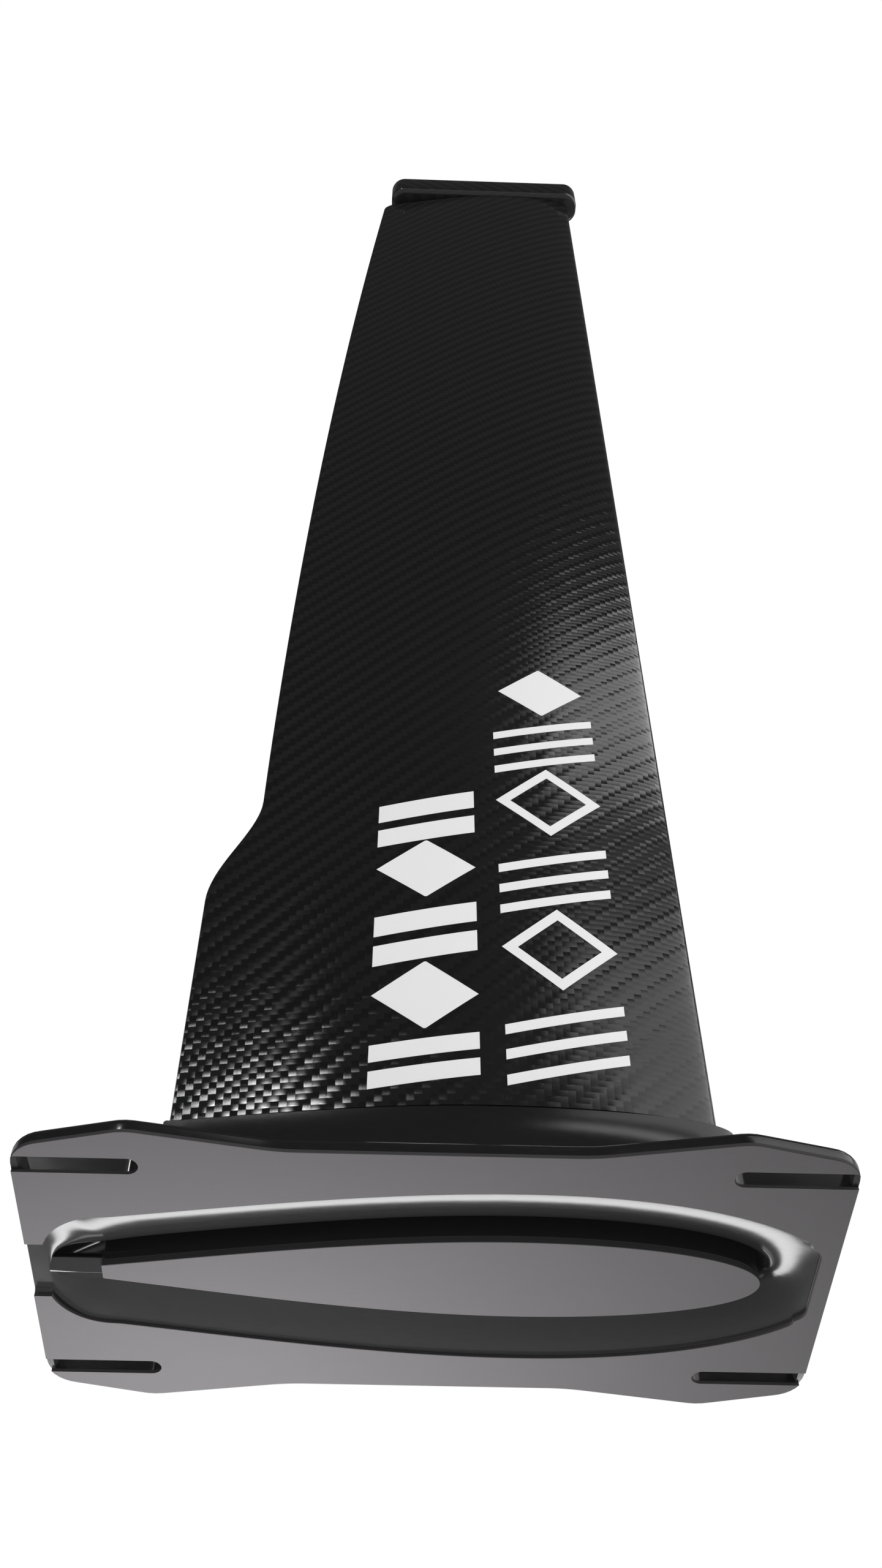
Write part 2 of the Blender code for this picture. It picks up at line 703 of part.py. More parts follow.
def main():
    clear_scene()
    materials = make_materials()
    plate_face_sheet(materials)
    top_plate(materials)
    root_fairings(materials)
    core_face_sheet(materials)
    root_plug(materials)
    mast_skins(materials)
    blade_core(materials)
    tip_block(materials)
    foot_bar(materials)
    foot_inserts(materials)


main()
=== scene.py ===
"""Looks of the moulded carbon hydrofoil mast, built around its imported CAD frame.

Outlines are worked out in millimetres in the row frame and become metres when a mesh is made:
+X is the leading edge, -Y the port side and +Z runs along the mast from the board to the foot.
"""
import math
from collections import namedtuple

import bmesh
import bpy
import numpy as np
from mathutils import Matrix, Vector


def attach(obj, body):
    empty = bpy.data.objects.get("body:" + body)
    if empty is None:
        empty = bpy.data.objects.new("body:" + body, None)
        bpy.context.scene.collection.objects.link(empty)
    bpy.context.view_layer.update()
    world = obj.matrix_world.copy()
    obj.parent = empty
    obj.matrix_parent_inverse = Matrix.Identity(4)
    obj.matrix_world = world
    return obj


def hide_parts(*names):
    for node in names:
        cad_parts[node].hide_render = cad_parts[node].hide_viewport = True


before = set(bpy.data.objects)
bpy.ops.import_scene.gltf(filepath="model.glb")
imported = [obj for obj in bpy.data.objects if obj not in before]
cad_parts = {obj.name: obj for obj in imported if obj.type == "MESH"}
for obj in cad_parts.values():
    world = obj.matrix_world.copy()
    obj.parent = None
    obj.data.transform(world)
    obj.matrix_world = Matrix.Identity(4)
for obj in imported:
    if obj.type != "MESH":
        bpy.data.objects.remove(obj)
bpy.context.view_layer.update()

MM = 0.001

# Board plate.
PLATE_HALF_LENGTH = 110.0
PLATE_TOP = 5.5
PLATE_EDGE_RADIUS = 2.8
SHEET_THICKNESS = 1.0
SHEET_EDGE = 0.12
# Corners of a quarter of the outline: x, y and rounding radius.
PLATE_CORNER = (110.0, 51.6, 9.5)
PLATE_PEAK = (80.2, 58.85, 14.0)
PLATE_WAIST = (40.7, 52.0, 60.0)
RAIL_SPACING = 90.0
SLOT_WIDTH = 6.2
SLOT_END_X = 80.1
# Outer end of a slot, low down and at the plate's top.  The sheet's slots run out through its
# ends; a thin wall of the moulded plate closes them there.
OPEN_SLOT_END_X = (115.0, 115.0)
CLOSED_SLOT_END_X = (108.2, 107.0)

# Trough round the mast end.
TROUGH_TAIL_X = -105.1
TROUGH_NOSE_X = 105.4
# Centre and radius.
TROUGH_TAIL_ARC = (-88.5, 6.2, 17.5)
TROUGH_NOSE_RADIUS = 5.0
RECESS_DEPTH = 1.3
RECESS_FILLET = 0.2
TROUGH_WALL_GAP = 0.02
# The throat is where the trough meets the mast end.  It is shallower and tighter over the tail.
THROAT_GAP = 1.3
TAIL_THROAT_GAP = 0.8
THROAT_Z = 8.8
TAIL_THROAT_Z = 2.6
TAIL_THROAT_SHARE = 0.07
# Superellipse power of the curve from the lip down to the throat, fuller over the tail.
TRUMPET_POWER = 1.65
TAIL_TRUMPET_POWER = 2.3
TAIL_TRUMPET_SHARE = 0.24
LIP_EASE = 26.0
NOTCH_HALF_WIDTH = 11.6
NOTCH_FLOOR = 2.2
NOTCH_FILLET = 1.2
NOTCH_BLEND = 10.0
CUTTER_OVERRUN = 5.0

# Root flare and the land behind the mast end.
FLARE_TOP = 53.2
FLARE_FOOT_OFFSET = 10.0
FLARE_FOOT_LIMIT_X = 106.8
FLARE_RIM_INSET = 0.7
FLARE_RIM_DROP = 0.8
FLARE_SPACING = 2.2
FLARE_SEAM = 0.01
INNER_WALL_HEIGHTS = (10.7, 13.0, 16.0, 20.0, 24.0, 30.0, 36.0, 44.0, FLARE_TOP)
PLUG_STRAIGHT_Z = 10.0
PLUG_TOP = 89.7
FIN_TAIL_X = -104.9
FIN_TOP = 4.0
CORE_SHEET_THICKNESS = 1.9
PLUG_EDGE = 0.15
# The plug's own face lies deeper behind the mast end's tail, under the land.
PLUG_FACE_DROP = 0.9
LAND_LEAN = 0.12
LAND_BEVEL = 0.09
LAND_TAIL_BEVELS = ((0.0, 0.6), (4.0, 0.35), (8.0, 0.04))

# Blade.
BLADE_BOTTOM = 53.8
BLADE_TOP = 829.7
LEADING_X = 85.3
ROOT_TRAILING_X = -78.4
STEP_TRAILING_X = -62.9
STEP_START_Z = 151.0
STEP_END_Z = 206.0
TAPER_START_Z = 190.0
TAPER_SPAN = 600.0
TAPER_RISE = 26.7
TAPER_POWER = 1.71
TIP_CORNER_RADIUS = 13.0
ROOT_HALF_THICKNESS = 10.8
TIP_HALF_THICKNESS = 7.9
TRAILING_HALF_THICKNESS = 0.6
# Thickest point, as a share of the chord behind the leading edge, and its shift towards the tip.
WIDEST_SHARE = 0.42
WIDEST_SHIFT = 0.04
SKIN = 1.6
SKIN_TAIL_SOLID = 10.0
SKIN_SEAM = 0.005
GAP = 0.3

# Foot.
FOOT_BOTTOM = 830.0
FOOT_TOP = 850.0
FOOT_TAIL_X = -29.6
FOOT_NOSE_X = 91.2
FOOT_HALF_WIDTH = 10.0
FOOT_CORNER_RADIUS = 8.5
FOOT_ROUND = 3.0
FOOT_END_ROUND = 1.0
INSERT_X = (0.0, 31.0, 62.0)
POCKET_RADIUS = 5.85
POCKET_DEPTH = 15.2

# Printed pattern on the port skin, two columns.
FRONT_PATTERN_X = (22.0, 60.0)
REAR_PATTERN_X = (-20.0, 14.0)
PRINT_LIFT = 0.06
PRINT_SINK = 0.15

# Aerofoil curves, and how far outline points crowd towards both ends.
NOSE_POWER = 2.1
TAIL_CURVE = 0.62
LOOP_END_BIAS = 0.55

# Twill: width of a tow, and how far its surface leans in each way.
TOW = 2.4
FLOAT_TILT = 0.03
TOW_LEAN = 0.007
STREAK_TILT = 0.016
ROUND_TILT = 0.01
WAVE_TILT = 0.014

Section = namedtuple("Section", "nose tail widest half tail_half")
MAST_END = Section(90.3, -90.2, 23.0, 16.8, 2.85)
TROUGH = Section(112.0, -87.0, 25.0, 37.0, 23.8)
FLARE_RIM = Section(90.0, -80.0, 16.0, 11.2, 1.2)

RIM_POINTS = 170
SKIN_POINTS = 90


# ---------------------------------------------------------------- outlines

def smoothstep(value):
    t = np.clip(value, 0.0, 1.0)
    return t * t * (3.0 - 2.0 * t)


def half_thickness(section, x):
    """Half thickness of an aerofoil section at chord position x."""
    x = np.asarray(x, dtype=float)
    front = np.clip((x - section.widest) / (section.nose - section.widest), 0.0, 1.0)
    rear = np.clip((section.widest - x) / (section.widest - section.tail), 0.0, 1.0)
    nose_side = section.half * (1.0 - front ** NOSE_POWER) ** (1.0 / NOSE_POWER)
    drop = (1.0 + TAIL_CURVE) * rear ** 2 - TAIL_CURVE * rear ** 3
    tail_side = section.half - (section.half - section.tail_half) * drop
    return np.where(x > section.widest, nose_side, tail_side)


def resample(points, count):
    """Spread count points along a polyline, closer together towards both ends."""
    points = np.asarray(points, dtype=float)
    steps = np.hypot(*np.diff(points, axis=0).T)
    length = np.concatenate([[0.0], np.cumsum(steps)])
    even = np.linspace(0.0, 1.0, count)
    eased = (1.0 - np.cos(math.pi * even)) / 2.0
    wanted = (even + (eased - even) * LOOP_END_BIAS) * length[-1]
    return np.column_stack([np.interp(wanted, length, points[:, axis]) for axis in (0, 1)])


def section_curve(section):
    """Upper side of a section, from its tail to its nose."""
    turn = np.linspace(0.0, math.pi, 700)
    x = section.tail + (section.nose - section.tail) * (1.0 - np.cos(turn)) / 2.0
    curve = np.column_stack([x, half_thickness(section, x)])
    curve[-1, 1] = 0.0
    return curve


def half_outline(section, count):
    """Upper half of a section with its blunt tail, starting on the chord line."""
    return resample(np.vstack([[section.tail, 0.0], section_curve(section)]), count)


def round_corner(corner, before, after, radius, steps=24):
    """Points of the arc that replaces a corner between two straight runs."""
    corner, before, after = (np.asarray(p, dtype=float) for p in (corner, before, after))
    back = (before - corner) / np.linalg.norm(before - corner)
    ahead = (after - corner) / np.linalg.norm(after - corner)
    half_angle = math.acos(float(np.clip(back @ ahead, -1.0, 1.0))) / 2.0
    middle = (back + ahead) / np.linalg.norm(back + ahead)
    centre = corner + middle * radius / math.sin(half_angle)
    start = corner + back * radius / math.tan(half_angle) - centre
    end = corner + ahead * radius / math.tan(half_angle) - centre
    sweep = math.atan2(start[0] * end[1] - start[1] * end[0], start @ end)
    points = []
    for step in range(steps + 1):
        angle = sweep * step / steps
        turn = np.array([[math.cos(angle), -math.sin(angle)], [math.sin(angle), math.cos(angle)]])
        points.append(centre + turn @ start)
    return points


def plate_half_outline(count):
    """Half of the dog-bone plate, from its tail end to its nose end."""
    quarter = [PLATE_WAIST, PLATE_PEAK, PLATE_CORNER]
    path = [(0.0, PLATE_WAIST[1])] + [corner[:2] for corner in quarter] + [(PLATE_HALF_LENGTH, 0.0)]
    nose_side = [path[0]]
    for index, corner in enumerate(quarter, start=1):
        nose_side += round_corner(path[index], path[index - 1], path[index + 1], corner[2])
    nose_side.append(path[-1])
    nose_side = np.array(nose_side)
    tail_side = nose_side[::-1] * (-1.0, 1.0)
    return resample(np.vstack([tail_side[:-1], nose_side]), count)


def trough_half_outline(count):
    """Half of the trough's mouth: a flat tail, an arc, an aerofoil side and a clipped nose."""
    centre_x, centre_y, radius = TROUGH_TAIL_ARC
    first = math.acos((TROUGH_TAIL_X - centre_x) / radius)
    angles = np.linspace(first, math.pi / 2.0, 50)
    arc = np.column_stack([centre_x + radius * np.cos(angles), centre_y + radius * np.sin(angles)])
    x = np.linspace(TROUGH.tail, TROUGH_NOSE_X - 1.0, 600)
    side = np.column_stack([x, half_thickness(TROUGH, x)])
    corner = (TROUGH_NOSE_X, float(half_thickness(TROUGH, TROUGH_NOSE_X)))
    nose = round_corner(corner, side[-140], (TROUGH_NOSE_X, 0.0), TROUGH_NOSE_RADIUS)
    side = side[side[:, 0] < nose[0][0]]
    return resample(np.vstack([[TROUGH_TAIL_X, 0.0], arc, side, nose, [TROUGH_NOSE_X, 0.0]]), count)


def fin_half_outline(count):
    """Mast end with the narrow land that runs on from its tail to the notch."""
    land = [[FIN_TAIL_X, 0.0], [FIN_TAIL_X, MAST_END.tail_half]]
    return resample(np.vstack([land, section_curve(MAST_END)]), count)


def closed_loop(half):
    """Full outline from its upper half, which starts and ends on the chord line."""
    return np.vstack([half, half[-2:0:-1] * (1.0, -1.0)])


def offset_loop(loop, distance):
    """Move each point of a clockwise-closed outline outwards by distance."""
    along = np.roll(loop, -1, axis=0) - np.roll(loop, 1, axis=0)
    along /= np.linalg.norm(along, axis=1)[:, None]
    outward = np.column_stack([-along[:, 1], along[:, 0]])
    return loop + outward * distance


def offset_half(half, distance):
    return offset_loop(closed_loop(half), distance)[:len(half)]


def eased_half(half, spread):
    """Round an outline off along its run, over about spread points."""
    loop = closed_loop(half)
    reach = np.arange(-40, 41)
    weights = np.exp(-0.5 * (reach / spread) ** 2)
    weights /= weights.sum()
    eased = sum(weight * np.roll(loop, int(step), axis=0) for step, weight in zip(reach, weights))
    eased[[0, len(half) - 1], 1] = 0.0
    return eased[:len(half)]


def mirror_values(values):
    return np.concatenate([values, values[-2:0:-1]])


# ---------------------------------------------------------------- blade shape

def trailing_x(z):
    """Chord position of the trailing edge at height z."""
    taper = max(z - TAPER_START_Z, 0.0) / TAPER_SPAN
    upper = STEP_TRAILING_X + TAPER_RISE * taper ** TAPER_POWER
    blend = float(smoothstep((z - STEP_START_Z) / (STEP_END_Z - STEP_START_Z)))
    into_corner = z - (FOOT_BOTTOM - TIP_CORNER_RADIUS)
    rounding = 0.0
    if into_corner > 0.0:
        rounding = TIP_CORNER_RADIUS - math.sqrt(TIP_CORNER_RADIUS ** 2 - into_corner ** 2)
    return ROOT_TRAILING_X * (1.0 - blend) + upper * blend + rounding


def blade_section(z):
    tail = trailing_x(z)
    span = (z - BLADE_BOTTOM) / (BLADE_TOP - BLADE_BOTTOM)
    half = ROOT_HALF_THICKNESS + (TIP_HALF_THICKNESS - ROOT_HALF_THICKNESS) * span
    widest = LEADING_X - (LEADING_X - tail) * (WIDEST_SHARE - WIDEST_SHIFT * span)
    return Section(LEADING_X, tail, widest, half, TRAILING_HALF_THICKNESS)


def inner_section(z, extra=0.0):
    """Space inside the skin, with an extra allowance taken off it."""
    outer = blade_section(z)
    inset = SKIN + extra
    tail = outer.tail + SKIN_TAIL_SOLID + 2.0 * extra
    nose = outer.nose - SKIN - 4.0 * extra
    return Section(nose, tail, outer.widest, outer.half - inset, GAP / 2.0)


def plug_half_outline(z, count):
    """Mast root: the full end section low down, the space inside the skin higher up."""
    lower = half_outline(MAST_END, count)
    upper = half_outline(inner_section(max(z, BLADE_BOTTOM), 2.0 * GAP), count)
    rise = float(np.clip((z - PLUG_STRAIGHT_Z) / (FLARE_TOP - 1.0 - PLUG_STRAIGHT_Z), 0.0, 1.0))
    share = 1.0 - (1.0 - rise) ** 2
    return lower * (1.0 - share) + upper * share


# ---------------------------------------------------------------- mesh makers

def at_height(outline, z):
    return np.column_stack([outline, np.broadcast_to(z, len(outline))])


def smooth(mesh, sharp):
    mesh.shade_smooth()
    mesh.set_sharp_from_angle(angle=math.radians(sharp))


def make_object(name, verts, faces, material, fabric=None, sharp=35.0):
    """Mesh object from points in millimetres.  fabric gives each one's place on the cloth."""
    mesh = bpy.data.meshes.new(name)
    mesh.from_pydata([tuple(float(c) * MM for c in v) for v in verts], [], faces)
    if fabric is not None:
        layer = mesh.attributes.new("fabric", "FLOAT_VECTOR", "POINT")
        layer.data.foreach_set("vector", np.asarray(fabric, dtype=np.float32).ravel())
    work = bmesh.new()
    work.from_mesh(mesh)
    bmesh.ops.recalc_face_normals(work, faces=work.faces)
    work.to_mesh(mesh)
    work.free()
    mesh.materials.append(material)
    smooth(mesh, sharp)
    item = bpy.data.objects.new(name, mesh)
    bpy.context.scene.collection.objects.link(item)
    return item


def loft(name, rings, material, closed=False, fabric=None, sharp=35.0):
    """Join rings of equal length, either end to end with caps or round into a closed band."""
    size = len(rings[0])
    verts = [tuple(point) for ring in rings for point in ring]
    faces = []
    last = len(rings) if closed else len(rings) - 1
    for row in range(last):
        base = row * size
        above = ((row + 1) % len(rings)) * size
        for i in range(size):
            j = (i + 1) % size
            faces.append((base + i, base + j, above + j, above + i))
    if not closed:
        faces.append(tuple(range(size)))
        faces.append(tuple((len(rings) - 1) * size + i for i in range(size)))
    return make_object(name, verts, faces, material, fabric, sharp)


def cut_away(item, cutters):
    """Take each cutter's shape out of an object for good, and delete the cutters."""
    for cutter in cutters:
        modifier = item.modifiers.new(cutter.name, "BOOLEAN")
        modifier.operation = "DIFFERENCE"
        modifier.solver = "EXACT"
        modifier.object = cutter
    bpy.context.view_layer.update()
    shaped = item.evaluated_get(bpy.context.evaluated_depsgraph_get())
    mesh = bpy.data.meshes.new_from_object(shaped)
    item.modifiers.clear()
    item.data = mesh
    smooth(mesh, 35.0)
    for cutter in cutters:
        bpy.data.objects.remove(cutter, do_unlink=True)


def slot_cutters(material, end_x):
    """Four round-ended prisms with their outer ends at end_x, low down and at the plate's top."""
    radius = SLOT_WIDTH / 2.0
    low_x, high_x = end_x
    heights = (-CUTTER_OVERRUN, SHEET_THICKNESS, PLATE_TOP, PLATE_TOP + 2.0 * CUTTER_OVERRUN)
    ends = (low_x, low_x, high_x, high_x)
    cutters = []
    for side_x in (-1.0, 1.0):
        for side_y in (-1.0, 1.0):
            centre_y = side_y * RAIL_SPACING / 2.0
            inner_end = []
            for angle in np.linspace(-math.pi / 2.0, math.pi / 2.0, 29):
                x = side_x * (SLOT_END_X - radius * math.cos(angle))
                inner_end.append((x, centre_y + radius * math.sin(angle)))
            rings = []
            for z, outer_x in zip(heights, ends):
                x = side_x * outer_x
                outer_end = [(x, centre_y + radius), (x, centre_y - radius)]
                rings.append([(x, y, z) for x, y in inner_end + outer_end])
            cutters.append(loft("slot_cutter", rings, material))
    return cutters


def notch_cutter(material):
    """Block with rounded edges at the notch's floor, across the plate's tail end."""
    turns = np.radians(np.linspace(0.0, 90.0, 9))
    profile = [(-NOTCH_HALF_WIDTH, -CUTTER_OVERRUN)]
    for sign, angles in ((-1.0, turns), (1.0, turns[::-1])):
        for turn in angles:
            y = sign * (NOTCH_HALF_WIDTH - NOTCH_FILLET + NOTCH_FILLET * math.cos(turn))
            profile.append((y, NOTCH_FLOOR - NOTCH_FILLET + NOTCH_FILLET * math.sin(turn)))
    profile.append((NOTCH_HALF_WIDTH, -CUTTER_OVERRUN))
    ends = (-PLATE_HALF_LENGTH - CUTTER_OVERRUN, TROUGH_TAIL_X + 0.6)
    return loft("notch_cutter", [[(x, y, z) for y, z in profile] for x in ends], material)


# ---------------------------------------------------------------- node helpers

class Nodes:
    """Short calls for building one node tree."""

    def __init__(self, tree):
        self.tree = tree
        tree.nodes.clear()

    def add(self, kind, **settings):
        node = self.tree.nodes.new(kind)
        for key, value in settings.items():
            setattr(node, key, value)
        return node

    def join(self, source, socket):
        self.tree.links.new(source, socket)

    def feed(self, socket, value):
        if isinstance(value, bpy.types.NodeSocket):
            self.join(value, socket)
        else:
            socket.default_value = value

    def math(self, operation, *values):
        node = self.add("ShaderNodeMath", operation=operation)
        for socket, value in zip(node.inputs, values):
            self.feed(socket, value)
        return node.outputs[0]

    def vector(self, operation, *values):
        node = self.add("ShaderNodeVectorMath", operation=operation)
        for socket, value in zip(node.inputs, values):
            self.feed(socket, value)
        return node.outputs["Vector"]

    def scaled(self, vector, amount):
        return self.vector("MULTIPLY", vector, self.combine(amount, amount, amount))

    def step(self, value, low, high):
        """Smooth rise from 0 to 1 as value goes from low to high; low may be above high."""
        node = self.add("ShaderNodeMapRange", interpolation_type="SMOOTHSTEP")
        self.feed(node.inputs["Value"], value)
        low_first = low < high
        node.inputs["From Min"].default_value = min(low, high)
        node.inputs["From Max"].default_value = max(low, high)
        node.inputs["To Min"].default_value = 0.0 if low_first else 1.0
        node.inputs["To Max"].default_value = 1.0 if low_first else 0.0
        return node.outputs["Result"]

    def span(self, value, low, high, soft):
        """1 between low and high, with soft edges."""
        rise = self.step(value, low - soft, low + soft)
        fall = self.step(value, high + soft, high - soft)
        return self.math("MULTIPLY", rise, fall)

    def mix(self, factor, first, second, kind="FLOAT"):
        """Blend of two numbers, vectors or colours."""
        first_input, output = {"FLOAT": (2, 0), "VECTOR": (4, 1), "RGBA": (6, 2)}[kind]
        node = self.add("ShaderNodeMix", data_type=kind)
        self.feed(node.inputs[0], factor)
        self.feed(node.inputs[first_input], first)
        self.feed(node.inputs[first_input + 1], second)
        return node.outputs[output]

    def mix_color(self, factor, first, second):
        """Blend of two plain colours given as red, green and blue."""
        return self.mix(factor, (*first, 1.0), (*second, 1.0), "RGBA")

    def noise(self, vector, scale, detail=2.0, roughness=0.5):
        """Soft noise.  scale is one number, or one for each axis."""
        if isinstance(scale, tuple):
            vector = self.vector("MULTIPLY", vector, scale)
            scale = 1.0
        node = self.add("ShaderNodeTexNoise", noise_dimensions="3D")
        self.feed(node.inputs["Vector"], vector)
        node.inputs["Scale"].default_value = scale
        node.inputs["Detail"].default_value = detail
        node.inputs["Roughness"].default_value = roughness
        return node.outputs["Fac"]

    def centred(self, value, amount):
        """A 0..1 value as a swing of amount about 0."""
        return self.math("MULTIPLY", self.math("SUBTRACT", value, 0.5), 2.0 * amount)

    def split(self, vector):
        node = self.add("ShaderNodeSeparateXYZ")
        self.join(vector, node.inputs[0])
        return node.outputs

    def combine(self, x, y, z):
        node = self.add("ShaderNodeCombineXYZ")
        for socket, value in zip(node.inputs, (x, y, z)):
            self.feed(socket, value)
        return node.outputs[0]

    def millimetres(self):
        """Position on the object in millimetres of the row frame."""
        coordinates = self.add("ShaderNodeTexCoord")
        return self.scaled(coordinates.outputs["Object"], 1.0 / MM)

    def bump(self, height, distance, strength):
        node = self.add("ShaderNodeBump")
        node.inputs["Strength"].default_value = strength
        node.inputs["Distance"].default_value = distance
        self.feed(node.inputs["Height"], height)
        return node.outputs["Normal"]

    def surface(self, glow=0.0, **inputs):
        """Principled shader wired to the output.  glow gives off a little of its base colour."""
        shader = self.add("ShaderNodeBsdfPrincipled")
        output = self.add("ShaderNodeOutputMaterial")
        self.join(shader.outputs[0], output.inputs["Surface"])
        for key, value in inputs.items():
            self.feed(shader.inputs[key.replace("_", " ")], value)
        if glow > 0.0:
            self.feed(shader.inputs["Emission Color"], inputs["Base_Color"])
            shader.inputs["Emission Strength"].default_value = glow
        return shader, output


def new_material(name):
    material = bpy.data.materials.new(name)
    material.use_nodes = True
    return material, Nodes(material.node_tree)


# ---------------------------------------------------------------- materials

def twill_material(name):
    """2x2 twill of flat carbon tows under clear resin, the wefts painted lighter than the warps as a
    painted sheen.
    """
    material, n = new_material(name)
    fabric = n.add("ShaderNodeAttribute", attribute_name="fabric").outputs["Vector"]
    wander = n.centred(n.noise(fabric, 0.02, 1.0), 0.9)
    across, along, _ = n.split(fabric)
    across = n.math("ADD", across, wander)
    column = n.math("DIVIDE", across, TOW)
    row = n.math("DIVIDE", along, TOW)
    column_number = n.math("FLOOR", column)
    row_number = n.math("FLOOR", row)
    phase = n.math("FLOORED_MODULO", n.math("SUBTRACT", column_number, row_number), 4.0)
    is_weft = n.math("GREATER_THAN", phase, 1.5)
    column_part = n.math("FRACT", column)
    row_part = n.math("FRACT", row)

    def woven(warp, weft, kind="FLOAT"):
        """The warp's value or the weft's, whichever tow is on top."""
        return n.mix(is_weft, warp, weft, kind)

    def streak(fine, long, warp_seed, weft_seed, rough):
        """Noise along the fibres of the tow on top."""
        warp = n.vector("MULTIPLY", n.combine(across, along, warp_seed), (fine, long, 1.0))
        weft = n.vector("MULTIPLY", n.combine(across, along, weft_seed), (long, fine, 1.0))
        return n.noise(woven(warp, weft, "VECTOR"), 1.0, 3.0, rough)

    def float_number(position, number):
        return n.math("FLOOR", n.math("DIVIDE", n.math("SUBTRACT", position, number), 4.0))

    # Place along a float, from 0 to 1 over its two cells.
    second_cell = woven(n.math("LESS_THAN", phase, 0.5), n.math("GREATER_THAN", phase, 2.5))
    place = n.math("MULTIPLY", n.math("ADD", woven(row_part, column_part), second_cell), 0.5)
    warp_id = n.combine(column_number, float_number(row, column_number), 0.0)
    weft_id = n.combine(float_number(column, row_number), row_number, 7.0)
    chance = n.add("ShaderNodeTexWhiteNoise", noise_dimensions="3D")
    n.join(woven(warp_id, weft_id, "VECTOR"), chance.inputs["Vector"])
    grain = streak(7.0, 0.35, 0.0, 5.0, 0.65)
    wave = n.centred(streak(5.0, 0.25, 9.0, 3.0, 0.6), WAVE_TILT)
    lean = n.centred(chance.outputs["Value"], TOW_LEAN)
    # Tilt of the surface along the tow on top, and across it.
    tilt = n.math("ADD", n.math("ADD", n.centred(place, FLOAT_TILT), lean), wave)
    round_back = n.centred(woven(column_part, row_part), ROUND_TILT)
    side_tilt = n.math("ADD", n.centred(grain, STREAK_TILT), round_back)
    tilt_across = woven(side_tilt, tilt)
    tilt_along = woven(tilt, side_tilt)
    base_normal = n.add("ShaderNodeNewGeometry").outputs["Normal"]
    across_axis = n.vector("NORMALIZE", n.vector("CROSS_PRODUCT", (0.0, 0.0, 1.0), base_normal))
    tilted = n.vector("ADD", n.scaled(across_axis, tilt_across), n.combine(0.0, 0.0, tilt_along))
    normal = n.vector("NORMALIZE", n.vector("ADD", base_normal, tilted))
    # Painted sheen: wefts get a lighter base colour than warps so the weave shows in shade; the grain
    # streaks are the tows' own tone.
    weft_painted_sheen = n.math("MULTIPLY", is_weft, 0.6)
    grain_and_painted_weft_sheen = n.math("MULTIPLY_ADD", n.step(grain, 0.2, 0.8), 0.4, weft_painted_sheen)
    color = n.mix_color(grain_and_painted_weft_sheen, (0.005, 0.005, 0.0052), (0.016, 0.016, 0.0163))
    # The fibres spread a highlight across themselves: sideways on a warp, up and down on a weft.
    roughness = n.math("MULTIPLY_ADD", grain, 0.04, woven(0.11, 0.03))
    across_fibre = woven(across_axis, (0.0, 0.0, 1.0), "VECTOR")
    n.surface(Base_Color=color, Roughness=roughness, Normal=normal, IOR=1.5,
              Anisotropic=1.0, Tangent=across_fibre)
    return material


def gloss_material(name):
    """Black moulded resin: slight orange peel, faint wipe marks and dust, and a faint painted glow of
    its own colour that lightens it in shade.
    """
    material, n = new_material(name)
    place = n.millimetres()
    wave = n.noise(place, 0.09, 2.0)
    peel = n.noise(place, 1.1, 2.0)
    wipe = n.noise(place, (0.3, 1.8, 1.8), 4.0, 0.6)
    normal = n.bump(n.math("MULTIPLY_ADD", peel, 0.03, wave), 0.00005, 0.6)
    color = n.mix_color(wipe, (0.006, 0.006, 0.0061), (0.01, 0.01, 0.0101))
    roughness = n.math("MULTIPLY_ADD", wipe, 0.08, 0.1)
    # Painted glow: the resin gives off a little of its base colour, which lightens it where it lies in
    # shade.
    n.surface(glow=0.35, Base_Color=color, Roughness=roughness, Normal=normal, IOR=1.5)
    return material


def sheet_material(name):
    """Grey face sheet with a fine lengthwise grain."""
    material, n = new_material(name)
    place = n.millimetres()
    line = n.noise(place, (0.06, 3.2, 1.0), 3.0, 0.7)
    fleck = n.noise(place, (0.8, 5.0, 1.0), 2.0, 0.6)
    thread = n.noise(place, (3.4, 0.12, 1.0), 2.0, 0.6)
    cloud = n.noise(place, 0.02, 2.0)
    amount = n.math("MULTIPLY", line, 0.4)
    for layer in (fleck, thread, cloud):
        amount = n.math("MULTIPLY_ADD", layer, 0.2, amount)
    color = n.mix_color(amount, (0.0401, 0.0382, 0.0397), (0.0589, 0.0562, 0.0584))
    normal = n.bump(line, 0.00002, 0.5)
    roughness = n.math("MULTIPLY_ADD", fleck, 0.1, 0.5)
    n.surface(Base_Color=color, Roughness=roughness, Normal=normal, Specular_IOR_Level=0.12)
    return material


def laminate_material(name, dark, light, stretch):
    """Pressed laminate with fibre lines; stretch sets how fine they are along each axis."""
    material, n = new_material(name)
    place = n.millimetres()
    line = n.noise(place, stretch, 4.0, 0.65)
    patch = n.noise(place, 0.06, 3.0)
    color = n.mix_color(n.math("MULTIPLY", n.math("ADD", line, patch), 0.5), dark, light)
    normal = n.bump(line, 0.00006, 0.6)
    roughness = n.math("MULTIPLY_ADD", line, 0.25, 0.28)
    n.surface(Base_Color=color, Roughness=roughness, Normal=normal, IOR=1.5)
    return material


def foam_material(name):
    """Closed-cell foam: cells of about half a millimetre and a mottled colour."""
    material, n = new_material(name)
    place = n.millimetres()
    cells = n.add("ShaderNodeTexVoronoi", feature="DISTANCE_TO_EDGE")
    n.join(place, cells.inputs["Vector"])
    cells.inputs["Scale"].default_value = 1.6
    wall = n.step(cells.outputs["Distance"], 0.0, 0.12)
    patch = n.noise(place, 0.08, 3.0)
    tone = n.mix_color(patch, (0.66, 0.55, 0.34), (0.78, 0.69, 0.48))
    color = n.mix(wall, (0.85, 0.78, 0.6, 1.0), tone, "RGBA")
    normal = n.bump(wall, -0.0002, 0.8)
    roughness = n.math("MULTIPLY_ADD", patch, 0.15, 0.78)
    n.surface(Base_Color=color, Roughness=roughness, Normal=normal)
    return material


